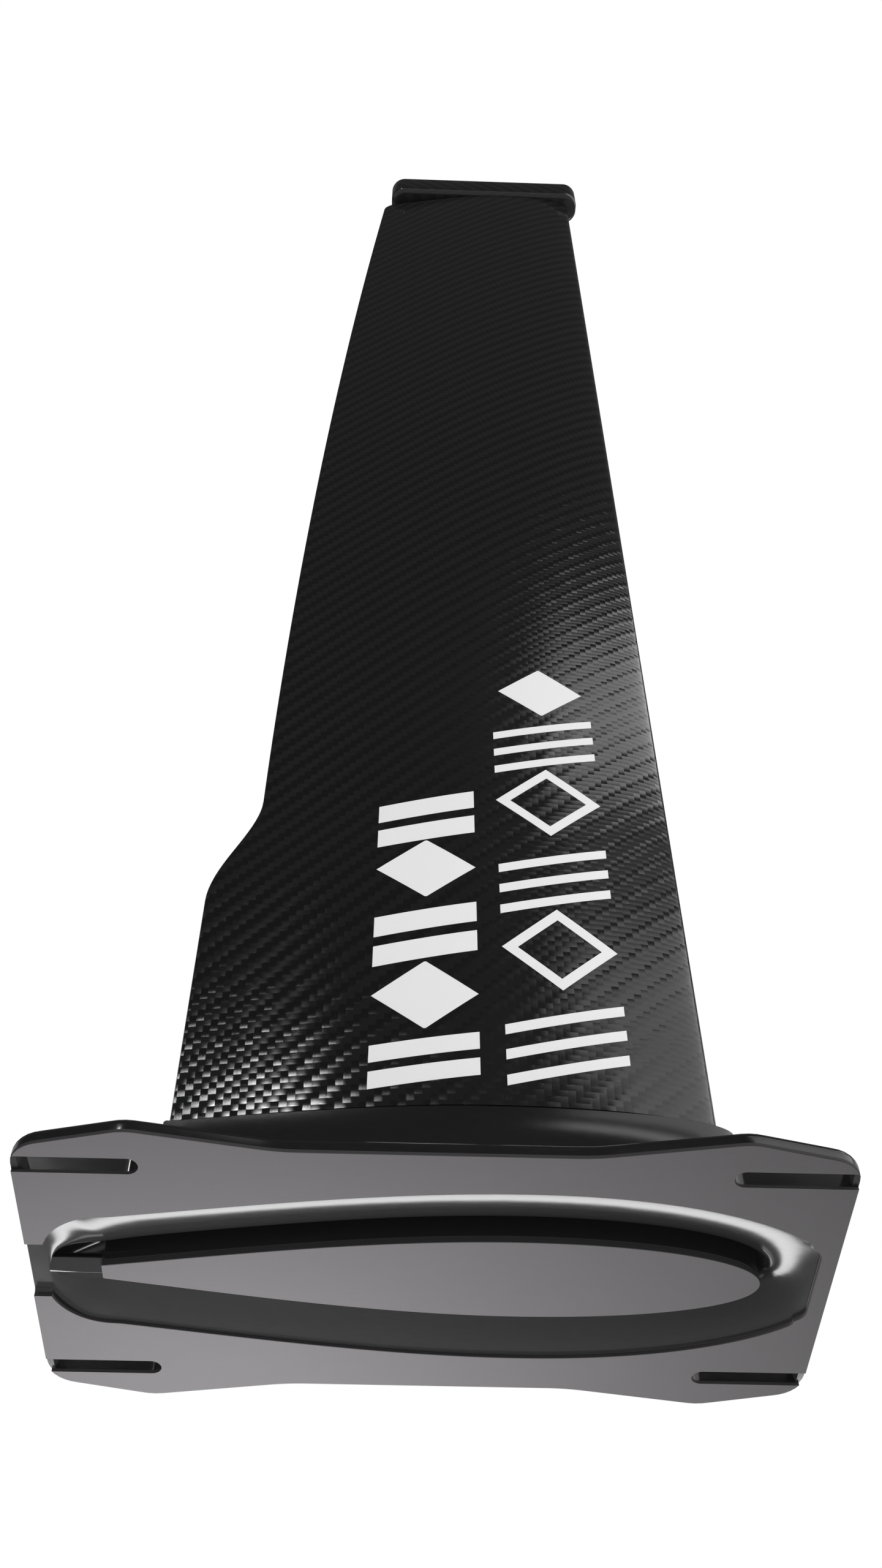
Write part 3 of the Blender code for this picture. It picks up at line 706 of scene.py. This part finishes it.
def steel_material(name):
    """Turned stainless steel with rings of tool marks."""
    material, n = new_material(name)
    place = n.millimetres()
    line = n.noise(place, (0.2, 0.2, 9.0), 3.0, 0.6)
    patch = n.noise(place, 0.4, 3.0)
    color = n.mix_color(patch, (0.5, 0.49, 0.47), (0.62, 0.61, 0.59))
    normal = n.bump(line, 0.00004, 0.5)
    roughness = n.math("MULTIPLY_ADD", line, 0.16, 0.22)
    n.surface(Base_Color=color, Roughness=roughness, Metallic=1.0, Normal=normal)
    return material


def print_material(name):
    """White print film: soft mottling, a satin face and a faint painted glow that brightens it."""
    material, n = new_material(name)
    place = n.millimetres()
    mottle = n.noise(place, 0.35, 3.0, 0.6)
    speck = n.noise(place, 4.0, 2.0, 0.5)
    color = n.mix_color(mottle, (0.94, 0.94, 0.94), (0.98, 0.98, 0.98))
    normal = n.bump(speck, 0.00001, 0.5)
    roughness = n.math("MULTIPLY_ADD", mottle, 0.15, 0.4)
    # Painted glow: the print gives off a little of its base colour, which brightens it beyond the light
    # it gets.
    n.surface(glow=0.09, Base_Color=color, Roughness=roughness, Normal=normal, IOR=1.5)
    return material


def floor_material(name):
    """Pale floor, clear when seen from below."""
    material, n = new_material(name)
    place = n.millimetres()
    cloud = n.noise(place, 0.004, 3.0)
    color = n.mix_color(cloud, (0.78, 0.78, 0.78), (0.84, 0.84, 0.84))
    shader, output = n.surface(glow=0.4, Base_Color=color, Roughness=0.75)
    clear = n.add("ShaderNodeBsdfTransparent")
    pick = n.add("ShaderNodeMixShader")
    geometry = n.add("ShaderNodeNewGeometry")
    n.join(geometry.outputs["Backfacing"], pick.inputs[0])
    n.join(shader.outputs[0], pick.inputs[1])
    n.join(clear.outputs[0], pick.inputs[2])
    n.join(pick.outputs[0], output.inputs["Surface"])
    return material


TWILL = twill_material("carbon_twill_look")
GLOSS = gloss_material("gloss_black_look")
SHEET = sheet_material("face_sheet_look")
CARBON = laminate_material("unidirectional_look", (0.012, 0.012, 0.013), (0.035, 0.035, 0.037),
                           (4.0, 4.0, 0.05))
BLOCK = laminate_material("solid_laminate_look", (0.012, 0.012, 0.012), (0.03, 0.03, 0.03),
                          (1.2, 1.2, 1.2))
FOAM = foam_material("core_foam_look")
STEEL = steel_material("steel_look")
PRINT = print_material("white_print_look")


def stand_for(piece, node):
    """Put a piece in the place of one CAD node."""
    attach(piece, "root")
    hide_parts(node)


# ---------------------------------------------------------------- plate and root

def rim_loops(count):
    """Plate outline and trough mouth as loops with matching points."""
    return closed_loop(plate_half_outline(count)), closed_loop(trough_half_outline(count))


def face_sheet():
    outer, hole = rim_loops(RIM_POINTS)
    rings = [at_height(offset_loop(outer, -SHEET_EDGE), 0.0), at_height(outer, SHEET_EDGE)]
    rings += [at_height(outer, SHEET_THICKNESS), at_height(hole, SHEET_THICKNESS)]
    rings += [at_height(hole, SHEET_EDGE), at_height(offset_loop(hole, SHEET_EDGE), 0.0)]
    item = loft("plate_face_sheet_look", rings, SHEET, closed=True)
    cut_away(item, slot_cutters(SHEET, OPEN_SLOT_END_X) + [notch_cutter(SHEET)])
    stand_for(item, "plate_face_sheet")


def flare_foot(trough_half):
    foot = offset_half(trough_half, FLARE_FOOT_OFFSET)
    foot[:, 0] = np.clip(foot[:, 0], -FLARE_FOOT_LIMIT_X, FLARE_FOOT_LIMIT_X)
    foot[[0, -1], 1] = 0.0
    return foot


def fillet_height(share):
    """Height of the flare's outer surface: share is 0 at its foot and 1 at its top."""
    return FLARE_TOP - (FLARE_TOP - PLATE_TOP) * np.sqrt(np.maximum(1.0 - share ** 2, 0.0))


def trough_share(count):
    """How far in from the flare's foot the trough's outline lies, point by point."""
    trough = trough_half_outline(count)
    foot = flare_foot(trough)
    rim = half_outline(FLARE_RIM, count)
    return np.linalg.norm(trough - foot, axis=1) / np.linalg.norm(rim - foot, axis=1)


def top_plate():
    count = RIM_POINTS
    outer, hole = rim_loops(count)
    rings = [at_height(outer, SHEET_THICKNESS), at_height(outer, PLATE_TOP - PLATE_EDGE_RADIUS)]
    for turn in np.radians(np.linspace(10.0, 90.0, 9)):
        inset = offset_loop(outer, -PLATE_EDGE_RADIUS * (1.0 - math.cos(turn)))
        rings.append(at_height(inset, PLATE_TOP - PLATE_EDGE_RADIUS * (1.0 - math.sin(turn))))
    foot = closed_loop(flare_foot(trough_half_outline(count)))
    share = mirror_values(trough_share(count))
    for part in np.linspace(0.0, 1.0, 8):
        rings.append(at_height(foot + (hole - foot) * part, fillet_height(share * part)))
    rings.append(at_height(hole, SHEET_THICKNESS))
    item = loft("top_plate_look", rings, GLOSS, closed=True)
    cut_away(item, slot_cutters(GLOSS, CLOSED_SLOT_END_X) + [notch_cutter(GLOSS)])
    stand_for(item, "top_plate")


def throat_shape(count):
    """Trumpet's inner height, clearance from the mast end and curve power, point by point."""
    along = np.linspace(0.0, 1.0, count)
    share = smoothstep(along / TAIL_THROAT_SHARE)
    height = TAIL_THROAT_Z + (THROAT_Z - TAIL_THROAT_Z) * share
    clearance = TAIL_THROAT_GAP + (THROAT_GAP - TAIL_THROAT_GAP) * share
    forward = smoothstep(along / TAIL_TRUMPET_SHARE)
    return height, clearance, TAIL_TRUMPET_POWER + (TRUMPET_POWER - TAIL_TRUMPET_POWER) * forward


def fairing_profiles():
    """Rings of outline points that run over the board side, up inside, and down the outside."""
    count = RIM_POINTS
    trough = trough_half_outline(count)
    wall = offset_half(trough, -TROUGH_WALL_GAP)
    throat_z, clearance, power = throat_shape(count)
    throat = offset_half(fin_half_outline(count), mirror_values(clearance)[:, None])
    lip = offset_half(trough, -RECESS_FILLET)
    # Across the notch the surface starts level with the notch's floor.
    beyond_notch = smoothstep((trough[:, 0] - TROUGH_TAIL_X) / NOTCH_BLEND)
    recess = NOTCH_FLOOR + (RECESS_DEPTH - NOTCH_FLOOR) * beyond_notch
    rows = [at_height(wall, NOTCH_FLOOR + (SHEET_THICKNESS - NOTCH_FLOOR) * beyond_notch)]
    for turn in np.radians(np.linspace(0.0, 90.0, 7)):
        outline = wall + (lip - wall) * (1.0 - math.cos(turn))
        rows.append(at_height(outline, recess - RECESS_FILLET * beyond_notch * (1.0 - math.sin(turn))))
    for turn in np.radians(np.linspace(3.0, 90.0, 34)):
        inward = math.sin(turn)
        fall = 1.0 - (1.0 - inward ** power) ** (1.0 / power)
        outline = eased_half(lip + (throat - lip) * inward, 0.1 + LIP_EASE * inward * (1.0 - inward))
        rows.append(at_height(outline, recess + (throat_z - recess) * fall))
    for z in INNER_WALL_HEIGHTS:
        clearance = GAP + (THROAT_GAP - GAP) * (FLARE_TOP - z) / FLARE_TOP
        rows.append(at_height(offset_half(plug_half_outline(z, count), clearance), z))
    foot = flare_foot(trough)
    rim = half_outline(FLARE_RIM, count)
    edge = trough_share(count)
    rows.append(at_height(offset_half(rim, -FLARE_RIM_INSET), FLARE_TOP))
    for part in np.linspace(0.0, 1.0, 34):
        fraction = 1.0 - part ** FLARE_SPACING
        share = edge + (1.0 - edge) * fraction
        outline = foot + (rim - foot) * share[:, None]
        height = fillet_height(share)
        if part == 0.0:
            height = height - GAP
        rows.append(at_height(outline, np.minimum(height, FLARE_TOP - FLARE_RIM_DROP)))
    return np.array(rows)


def root_fairings():
    """Two moulded halves of the flare, which meet on the chord plane."""
    rows = fairing_profiles()
    rows[:, :, 1] = np.maximum(rows[:, :, 1], FLARE_SEAM)
    stations = rows.transpose(1, 0, 2)
    for node, side in (("root_fairing_port", -1.0), ("root_fairing_starboard", 1.0)):
        item = loft(node + "_look", list(stations * (1.0, side, 1.0)), GLOSS)
        stand_for(item, node)


def root_land():
    """Narrow land behind the mast end: its face leans to port and its starboard edge is bevelled."""
    half = MAST_END.tail_half
    middle = CORE_SHEET_THICKNESS + GAP
    back = FIN_TOP - 0.2
    stations = [(FIN_TAIL_X + run, bevel) for run, bevel in LAND_TAIL_BEVELS]
    stations.append((MAST_END.tail + GAP, LAND_TAIL_BEVELS[-1][1]))
    rings = []
    for x, bevel in stations:
        corner = half - bevel
        crest = middle - LAND_LEAN * corner
        profile = [(-half, back), (-half, middle + LAND_LEAN * half), (corner, crest),
                   (half, crest + bevel * LAND_BEVEL), (half, back)]
        rings.append([(x, y, z) for y, z in profile])
    item = loft("root_land_look", rings, GLOSS, sharp=2.0)
    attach(item, "root")


def root_plug():
    """Solid mast root, from the land at the trough's tail up into the blade."""
    count = 120
    fin = fin_half_outline(count)
    loop = closed_loop(fin)
    behind = loop[:, 0] < MAST_END.tail - 0.2
    face = CORE_SHEET_THICKNESS + 0.02 + np.where(behind, PLUG_FACE_DROP, 0.0)
    rings = [at_height(closed_loop(offset_half(fin, -PLUG_EDGE)), face),
             at_height(loop, face + PLUG_EDGE), at_height(loop, FIN_TOP)]
    for z in (FIN_TOP + 0.1, PLUG_STRAIGHT_Z, 16.0, 24.0, 36.0, FLARE_TOP, PLUG_TOP):
        rings.append(at_height(closed_loop(plug_half_outline(z, count)), z))
    item = loft("root_plug_look", rings, GLOSS)
    stand_for(item, "root_plug")


def core_face_sheet():
    loop = closed_loop(half_outline(MAST_END, 160))
    rings = [at_height(offset_loop(loop, -SHEET_EDGE), 0.0), at_height(loop, SHEET_EDGE)]
    rings.append(at_height(loop, CORE_SHEET_THICKNESS))
    item = loft("core_face_sheet_look", rings, SHEET)
    stand_for(item, "core_face_sheet")


# ---------------------------------------------------------------- blade and foot

def blade_heights():
    heights = [BLADE_BOTTOM - 0.5]
    heights += list(np.linspace(62.0, STEP_START_Z, 8))
    heights += list(np.linspace(STEP_START_Z + 3.0, STEP_END_Z, 18))
    heights += list(np.linspace(STEP_END_Z + 12.0, 812.0, 48))
    heights += list(np.linspace(FOOT_BOTTOM - TIP_CORNER_RADIUS, BLADE_TOP, 14))
    return heights


def skin_ring(z, side):
    """Closed ring of one skin half, with cloth coordinates measured from the leading edge."""
    outer = half_outline(blade_section(z), SKIN_POINTS)
    inner = half_outline(inner_section(z), SKIN_POINTS // 2)[::-1]
    steps = np.hypot(*np.diff(outer, axis=0).T)
    along = np.concatenate([[0.0], np.cumsum(steps)])
    from_nose = side * (along[-1] - along)
    fabric = np.zeros((len(outer) + len(inner), 3))
    fabric[:len(outer), 0] = from_nose
    fabric[len(outer):, 0] = side * np.linspace(0.0, along[-1], len(inner))
    fabric[:, 1] = z
    points = np.vstack([outer, inner])
    points[:, 1] = np.maximum(points[:, 1], SKIN_SEAM)
    return at_height(points * (1.0, side), z), fabric


def mast_skins():
    for node, side in (("mast_skin_port", -1.0), ("mast_skin_starboard", 1.0)):
        pairs = [skin_ring(z, side) for z in blade_heights()]
        fabric = np.vstack([pair[1] for pair in pairs])
        item = loft(node + "_look", [pair[0] for pair in pairs], TWILL, fabric=fabric, sharp=50.0)
        stand_for(item, node)


def foot_loop(inset):
    """Bar outline with rounded corners, drawn in by inset."""
    half = FOOT_HALF_WIDTH - inset
    tail, nose = FOOT_TAIL_X + inset, FOOT_NOSE_X - inset
    radius = FOOT_CORNER_RADIUS - inset
    points = [(tail, 0.0)]
    points += round_corner((tail, half), (tail, 0.0), (nose, half), radius, 20)
    for x in np.linspace(tail + radius, nose - radius, 30)[1:-1]:
        points.append((x, half))
    points += round_corner((nose, half), (tail, half), (nose, 0.0), radius, 20)
    points.append((nose, 0.0))
    return closed_loop(np.array(points))


def foot_bar():
    """Bar with rounded edges, bored from its end face for the threaded inserts."""
    insets = []
    for turn in np.radians(np.linspace(0.0, 90.0, 10)):
        rise = FOOT_ROUND * (1.0 - math.cos(turn))
        insets.append((FOOT_ROUND * (1.0 - math.sin(turn)), FOOT_BOTTOM + rise))
    for turn in np.radians(np.linspace(0.0, 90.0, 6)):
        fall = FOOT_END_ROUND * (1.0 - math.sin(turn))
        insets.append((FOOT_END_ROUND * (1.0 - math.cos(turn)), FOOT_TOP - fall))
    rings = []
    fabric = []
    for inset, z in insets:
        loop = foot_loop(inset)
        steps = np.hypot(*(loop - np.roll(loop, 1, axis=0)).T)
        steps[0] = 0.0
        rings.append(at_height(loop, z))
        fabric.append(at_height(np.column_stack([np.cumsum(steps), np.full(len(loop), z + inset)]), 0.0))
    item = loft("foot_bar_look", rings, TWILL, fabric=np.vstack(fabric), sharp=50.0)
    angles = np.linspace(0.0, 2.0 * math.pi, 49)[:-1]
    circle = POCKET_RADIUS * np.column_stack([np.cos(angles), np.sin(angles)])
    pockets = []
    for x in INSERT_X:
        ends = (FOOT_TOP - POCKET_DEPTH, FOOT_TOP + CUTTER_OVERRUN)
        pockets.append(loft("pocket_cutter", [at_height(circle + (x, 0.0), z) for z in ends], TWILL))
    cut_away(item, pockets)
    stand_for(item, "foot_bar")


# ---------------------------------------------------------------- printed marking

def surface_point(x, z, lift):
    """Point lifted off the port skin at chord position x and height z."""
    section = blade_section(z)
    step = 0.05
    before, y, after = (float(v) for v in half_thickness(section, (x - step, x, x + step)))
    slope = (after - before) / (2.0 * step)
    length = math.hypot(slope, 1.0)
    return (x - slope / length * lift, -(y + lift / length), z)


def film(grids, name):
    """One piece of thin closed patches on the port skin.  A grid is rows of (x, z) points."""
    verts = []
    faces = []
    for grid in grids:
        grid = np.asarray(grid, dtype=float)
        rows, columns = grid.shape[:2]
        start = len(verts)
        for lift in (PRINT_LIFT, -PRINT_SINK):
            for row in range(rows):
                for column in range(columns):
                    verts.append(surface_point(*grid[row, column], lift))
        lower = start + rows * columns
        for row in range(rows - 1):
            for column in range(columns - 1):
                a = row * columns + column
                quad = (a, a + 1, a + columns + 1, a + columns)
                faces.append(tuple(start + i for i in quad))
                faces.append(tuple(lower + i for i in reversed(quad)))
        border = list(range(columns))
        border += [r * columns + columns - 1 for r in range(1, rows)]
        border += [(rows - 1) * columns + c for c in range(columns - 2, -1, -1)]
        border += [r * columns for r in range(rows - 2, 0, -1)]
        for i, a in enumerate(border):
            b = border[(i + 1) % len(border)]
            faces.append((start + b, start + a, lower + a, lower + b))
    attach(make_object(name, verts, faces, PRINT), "root")


def bar_grid(x0, x1, z0, z1, slant):
    """Bar that climbs by slant over its length."""
    xs = np.linspace(x0, x1, 24)
    zs = np.linspace(z0, z1, 8)
    return [[(x, z + slant * (x - x0) / (x1 - x0)) for x in xs] for z in zs]


def diamond_outline_grids(cx, cz, rx, rz, width):
    """Outline of a diamond, one patch for each of its four sides."""
    grids = []
    for quarter in range(4):
        angles = np.linspace(quarter, quarter + 1.0, 25) * math.pi / 2.0
        band = []
        for inset in (0.0, width / 2.0, width):
            line = []
            for angle in angles:
                c, s = math.cos(angle), math.sin(angle)
                line.append((cx + (rx - inset) * c * abs(c), cz + (rz - inset) * s * abs(s)))
            band.append(line)
        grids.append(band)
    return grids


def diamond_grid(cx, cz, rx, rz):
    """Filled diamond as a stack of thin strips."""
    grid = []
    for height in np.linspace(-0.98, 0.98, 23):
        half = rx * (1.0 - abs(height))
        grid.append([(cx + half * t, cz + rz * height) for t in np.linspace(-1.0, 1.0, 17)])
    return grid


def bar_stack(x0, x1, z, count, height, gap, slant):
    """Equal slanted bars one above the other, starting at z."""
    starts = [z + i * (height + gap) for i in range(count)]
    return [bar_grid(x0, x1, start, start + height, slant) for start in starts]


def markings():
    """Plain pattern of slanted bars and diamonds in place of the print."""
    x0, x1 = FRONT_PATTERN_X
    middle, half = (x0 + x1) / 2.0, (x1 - x0) / 2.0
    front = bar_stack(x0, x1, 61.0, 3, 4.2, 6.2, 11.0)
    front += diamond_outline_grids(middle, 121.0, half, 19.0, 5.2)
    front += bar_stack(x0, x1, 137.0, 3, 4.2, 6.2, 11.0)
    front += diamond_outline_grids(middle, 197.5, half, 19.0, 5.2)
    front += bar_stack(x0, x1, 213.5, 3, 4.2, 6.2, 11.0)
    front.append(diamond_grid(middle, 266.0, half * 0.86, 15.5))
    film(front, "marking_front")
    x0, x1 = REAR_PATTERN_X
    middle, half = (x0 + x1) / 2.0, (x1 - x0) / 2.0
    rear = bar_stack(x0, x1, 60.0, 2, 7.0, 3.6, 5.0)
    rear.append(diamond_grid(middle, 99.0, half, 15.0))
    rear += bar_stack(x0, x1, 112.0, 2, 9.5, 4.4, 7.0)
    rear.append(diamond_grid(middle, 160.0, half, 15.0))
    rear += bar_stack(x0, x1, 172.0, 2, 9.5, 4.4, 7.0)
    film(rear, "marking_rear")


# ---------------------------------------------------------------- carried-over nodes

INNER_LOOKS = {
    "leading_edge_strip": BLOCK, "trailing_edge_strip": BLOCK, "tip_block": BLOCK,
    "spar_cap_port": CARBON, "spar_cap_starboard": CARBON,
    "shear_web_front": CARBON, "shear_web_rear": CARBON,
    "foam_core_nose": FOAM, "foam_core_centre": FOAM, "foam_core_tail": FOAM,
    "foot_insert_rear": STEEL, "foot_insert_middle": STEEL, "foot_insert_front": STEEL,
}


def dress_inner_nodes():
    for node, material in INNER_LOOKS.items():
        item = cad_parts[node]
        item.data.materials.clear()
        item.data.materials.append(material)


# ---------------------------------------------------------------- studio

def studio_floor():
    """Pale floor that takes no part in the lighting."""
    half_size = 3.0
    z = -0.0004
    steps = 12
    mesh = bpy.data.meshes.new("studio_floor")
    side = np.linspace(-half_size, half_size, steps + 1)
    verts = [(x, y, z) for y in side for x in side]
    faces = []
    for row in range(steps):
        for column in range(steps):
            a = row * (steps + 1) + column
            faces.append((a, a + 1, a + steps + 2, a + steps + 1))
    mesh.from_pydata(verts, [], faces)
    mesh.materials.append(floor_material("pale_floor"))
    floor = bpy.data.objects.new("studio_floor", mesh)
    bpy.context.scene.collection.objects.link(floor)
    floor.visible_shadow = False
    floor.visible_diffuse = False
    floor.visible_glossy = False


# Soft panels: side of the object (-1 port, 1 starboard), azimuth from that side's axis towards +X,
# elevation, softness of each (all in degrees) and brightness.
Panel = namedtuple("Panel", "side az_low az_high el_low el_high az_soft el_soft level")
PANELS = (
    Panel(-1, -22.0, -19.0, 36.5, 39.2, 2.2, 2.2, 122.0),
    Panel(-1, 14.0, 105.0, 43.0, 46.0, 4.0, 3.0, 2.6),
    Panel(-1, 20.0, 105.0, -6.0, 42.0, 3.0, 1.5, 1.9),
    Panel(-1, 14.0, 105.0, 51.0, 56.0, 4.0, 2.0, 2.6),
    Panel(1, -32.0, 40.0, -31.0, -20.5, 6.0, 1.3, 10.5),
    Panel(1, -75.0, 75.0, -8.5, -3.5, 3.0, 1.0, 1.3),
    Panel(1, -70.0, 70.0, 8.0, 42.0, 3.0, 3.0, 0.5),
)


def studio_world():
    """White backdrop for the camera; everything else sees the plain light and the panels."""
    world = bpy.data.worlds.new("studio")
    bpy.context.scene.world = world
    world.use_nodes = True
    n = Nodes(world.node_tree)
    direction = n.add("ShaderNodeTexCoord").outputs["Generated"]
    x, y, z = n.split(direction)
    degrees = 180.0 / math.pi
    elevation = n.math("MULTIPLY", n.math("ARCSINE", z), degrees)
    azimuth = {}
    for side in (-1, 1):
        toward = n.math("MULTIPLY", y, float(side))
        azimuth[side] = n.math("MULTIPLY", n.math("ARCTAN2", x, toward), degrees)
    port = n.step(y, 0.12, -0.12)
    # Plain light on each side, brighter low down and towards the nose, then the panels on top.
    port_light = n.mix(n.step(elevation, 29.0, 24.0), 0.07, 0.7)
    floor_light = n.mix(n.step(azimuth[1], -5.0, 28.0), 0.28, 0.42)
    starboard_light = n.mix(n.step(elevation, -33.0, -38.0), 0.12, floor_light)
    total = n.mix(port, starboard_light, port_light)
    for panel in PANELS:
        width = n.span(azimuth[panel.side], panel.az_low, panel.az_high, panel.az_soft)
        height = n.span(elevation, panel.el_low, panel.el_high, panel.el_soft)
        total = n.math("MULTIPLY_ADD", n.math("MULTIPLY", width, height), panel.level, total)
    lit = n.add("ShaderNodeBackground")
    n.join(total, lit.inputs["Strength"])
    backdrop = n.add("ShaderNodeBackground")
    backdrop.inputs["Strength"].default_value = 1.0
    backdrop.inputs["Color"].default_value = (1.0, 1.0, 1.0, 1.0)
    pick = n.add("ShaderNodeMixShader")
    n.join(n.add("ShaderNodeLightPath").outputs["Is Camera Ray"], pick.inputs[0])
    n.join(lit.outputs[0], pick.inputs[1])
    n.join(backdrop.outputs[0], pick.inputs[2])
    output = n.add("ShaderNodeOutputWorld")
    n.join(pick.outputs[0], output.inputs["Surface"])
    world.cycles.sampling_method = "MANUAL"
    world.cycles.sample_map_resolution = 1024


def studio_lamp():
    """Soft lamp under the plate's tail half.  It lights the matt faces and casts no mirror image."""
    light = bpy.data.lights.new("low_lamp", "AREA")
    light.shape = "DISK"
    light.size = 0.1
    light.energy = 1.55
    lamp = bpy.data.objects.new("low_lamp", light)
    bpy.context.scene.collection.objects.link(lamp)
    lamp.location = (-0.065, 0.07, -0.17)
    lamp.rotation_euler = (math.pi, 0.0, 0.0)
    lamp.visible_glossy = False
    lamp.visible_camera = False


def studio_camera():
    """Camera at the place solved from the plate's edges and slots."""
    camera = bpy.data.cameras.new("camera")
    camera.sensor_width = 36.0
    camera.sensor_fit = "AUTO"
    camera.lens = 1.090890625 * camera.sensor_width
    camera.clip_start = 0.01
    camera.clip_end = 50.0
    item = bpy.data.objects.new("camera", camera)
    bpy.context.scene.collection.objects.link(item)
    right = Vector((0.99942395, -0.03393661, -0.00027946))
    down = Vector((0.02645053, 0.78406746, -0.62011175))
    forward = Vector((0.02126361, 0.61974714, 0.78451344))
    place = Matrix((right, -down, -forward)).transposed().to_4x4()
    place.translation = Vector((-11.12, -397.17, -283.84)) * MM
    item.matrix_world = place
    bpy.context.scene.camera = item


def main():
    """Build every piece, dress the inner nodes and light the studio."""
    face_sheet()
    top_plate()
    root_fairings()
    root_plug()
    root_land()
    core_face_sheet()
    mast_skins()
    foot_bar()
    markings()
    dress_inner_nodes()
    studio_floor()
    studio_world()
    studio_lamp()
    studio_camera()
    bpy.context.scene.view_settings.view_transform = "Standard"


main()
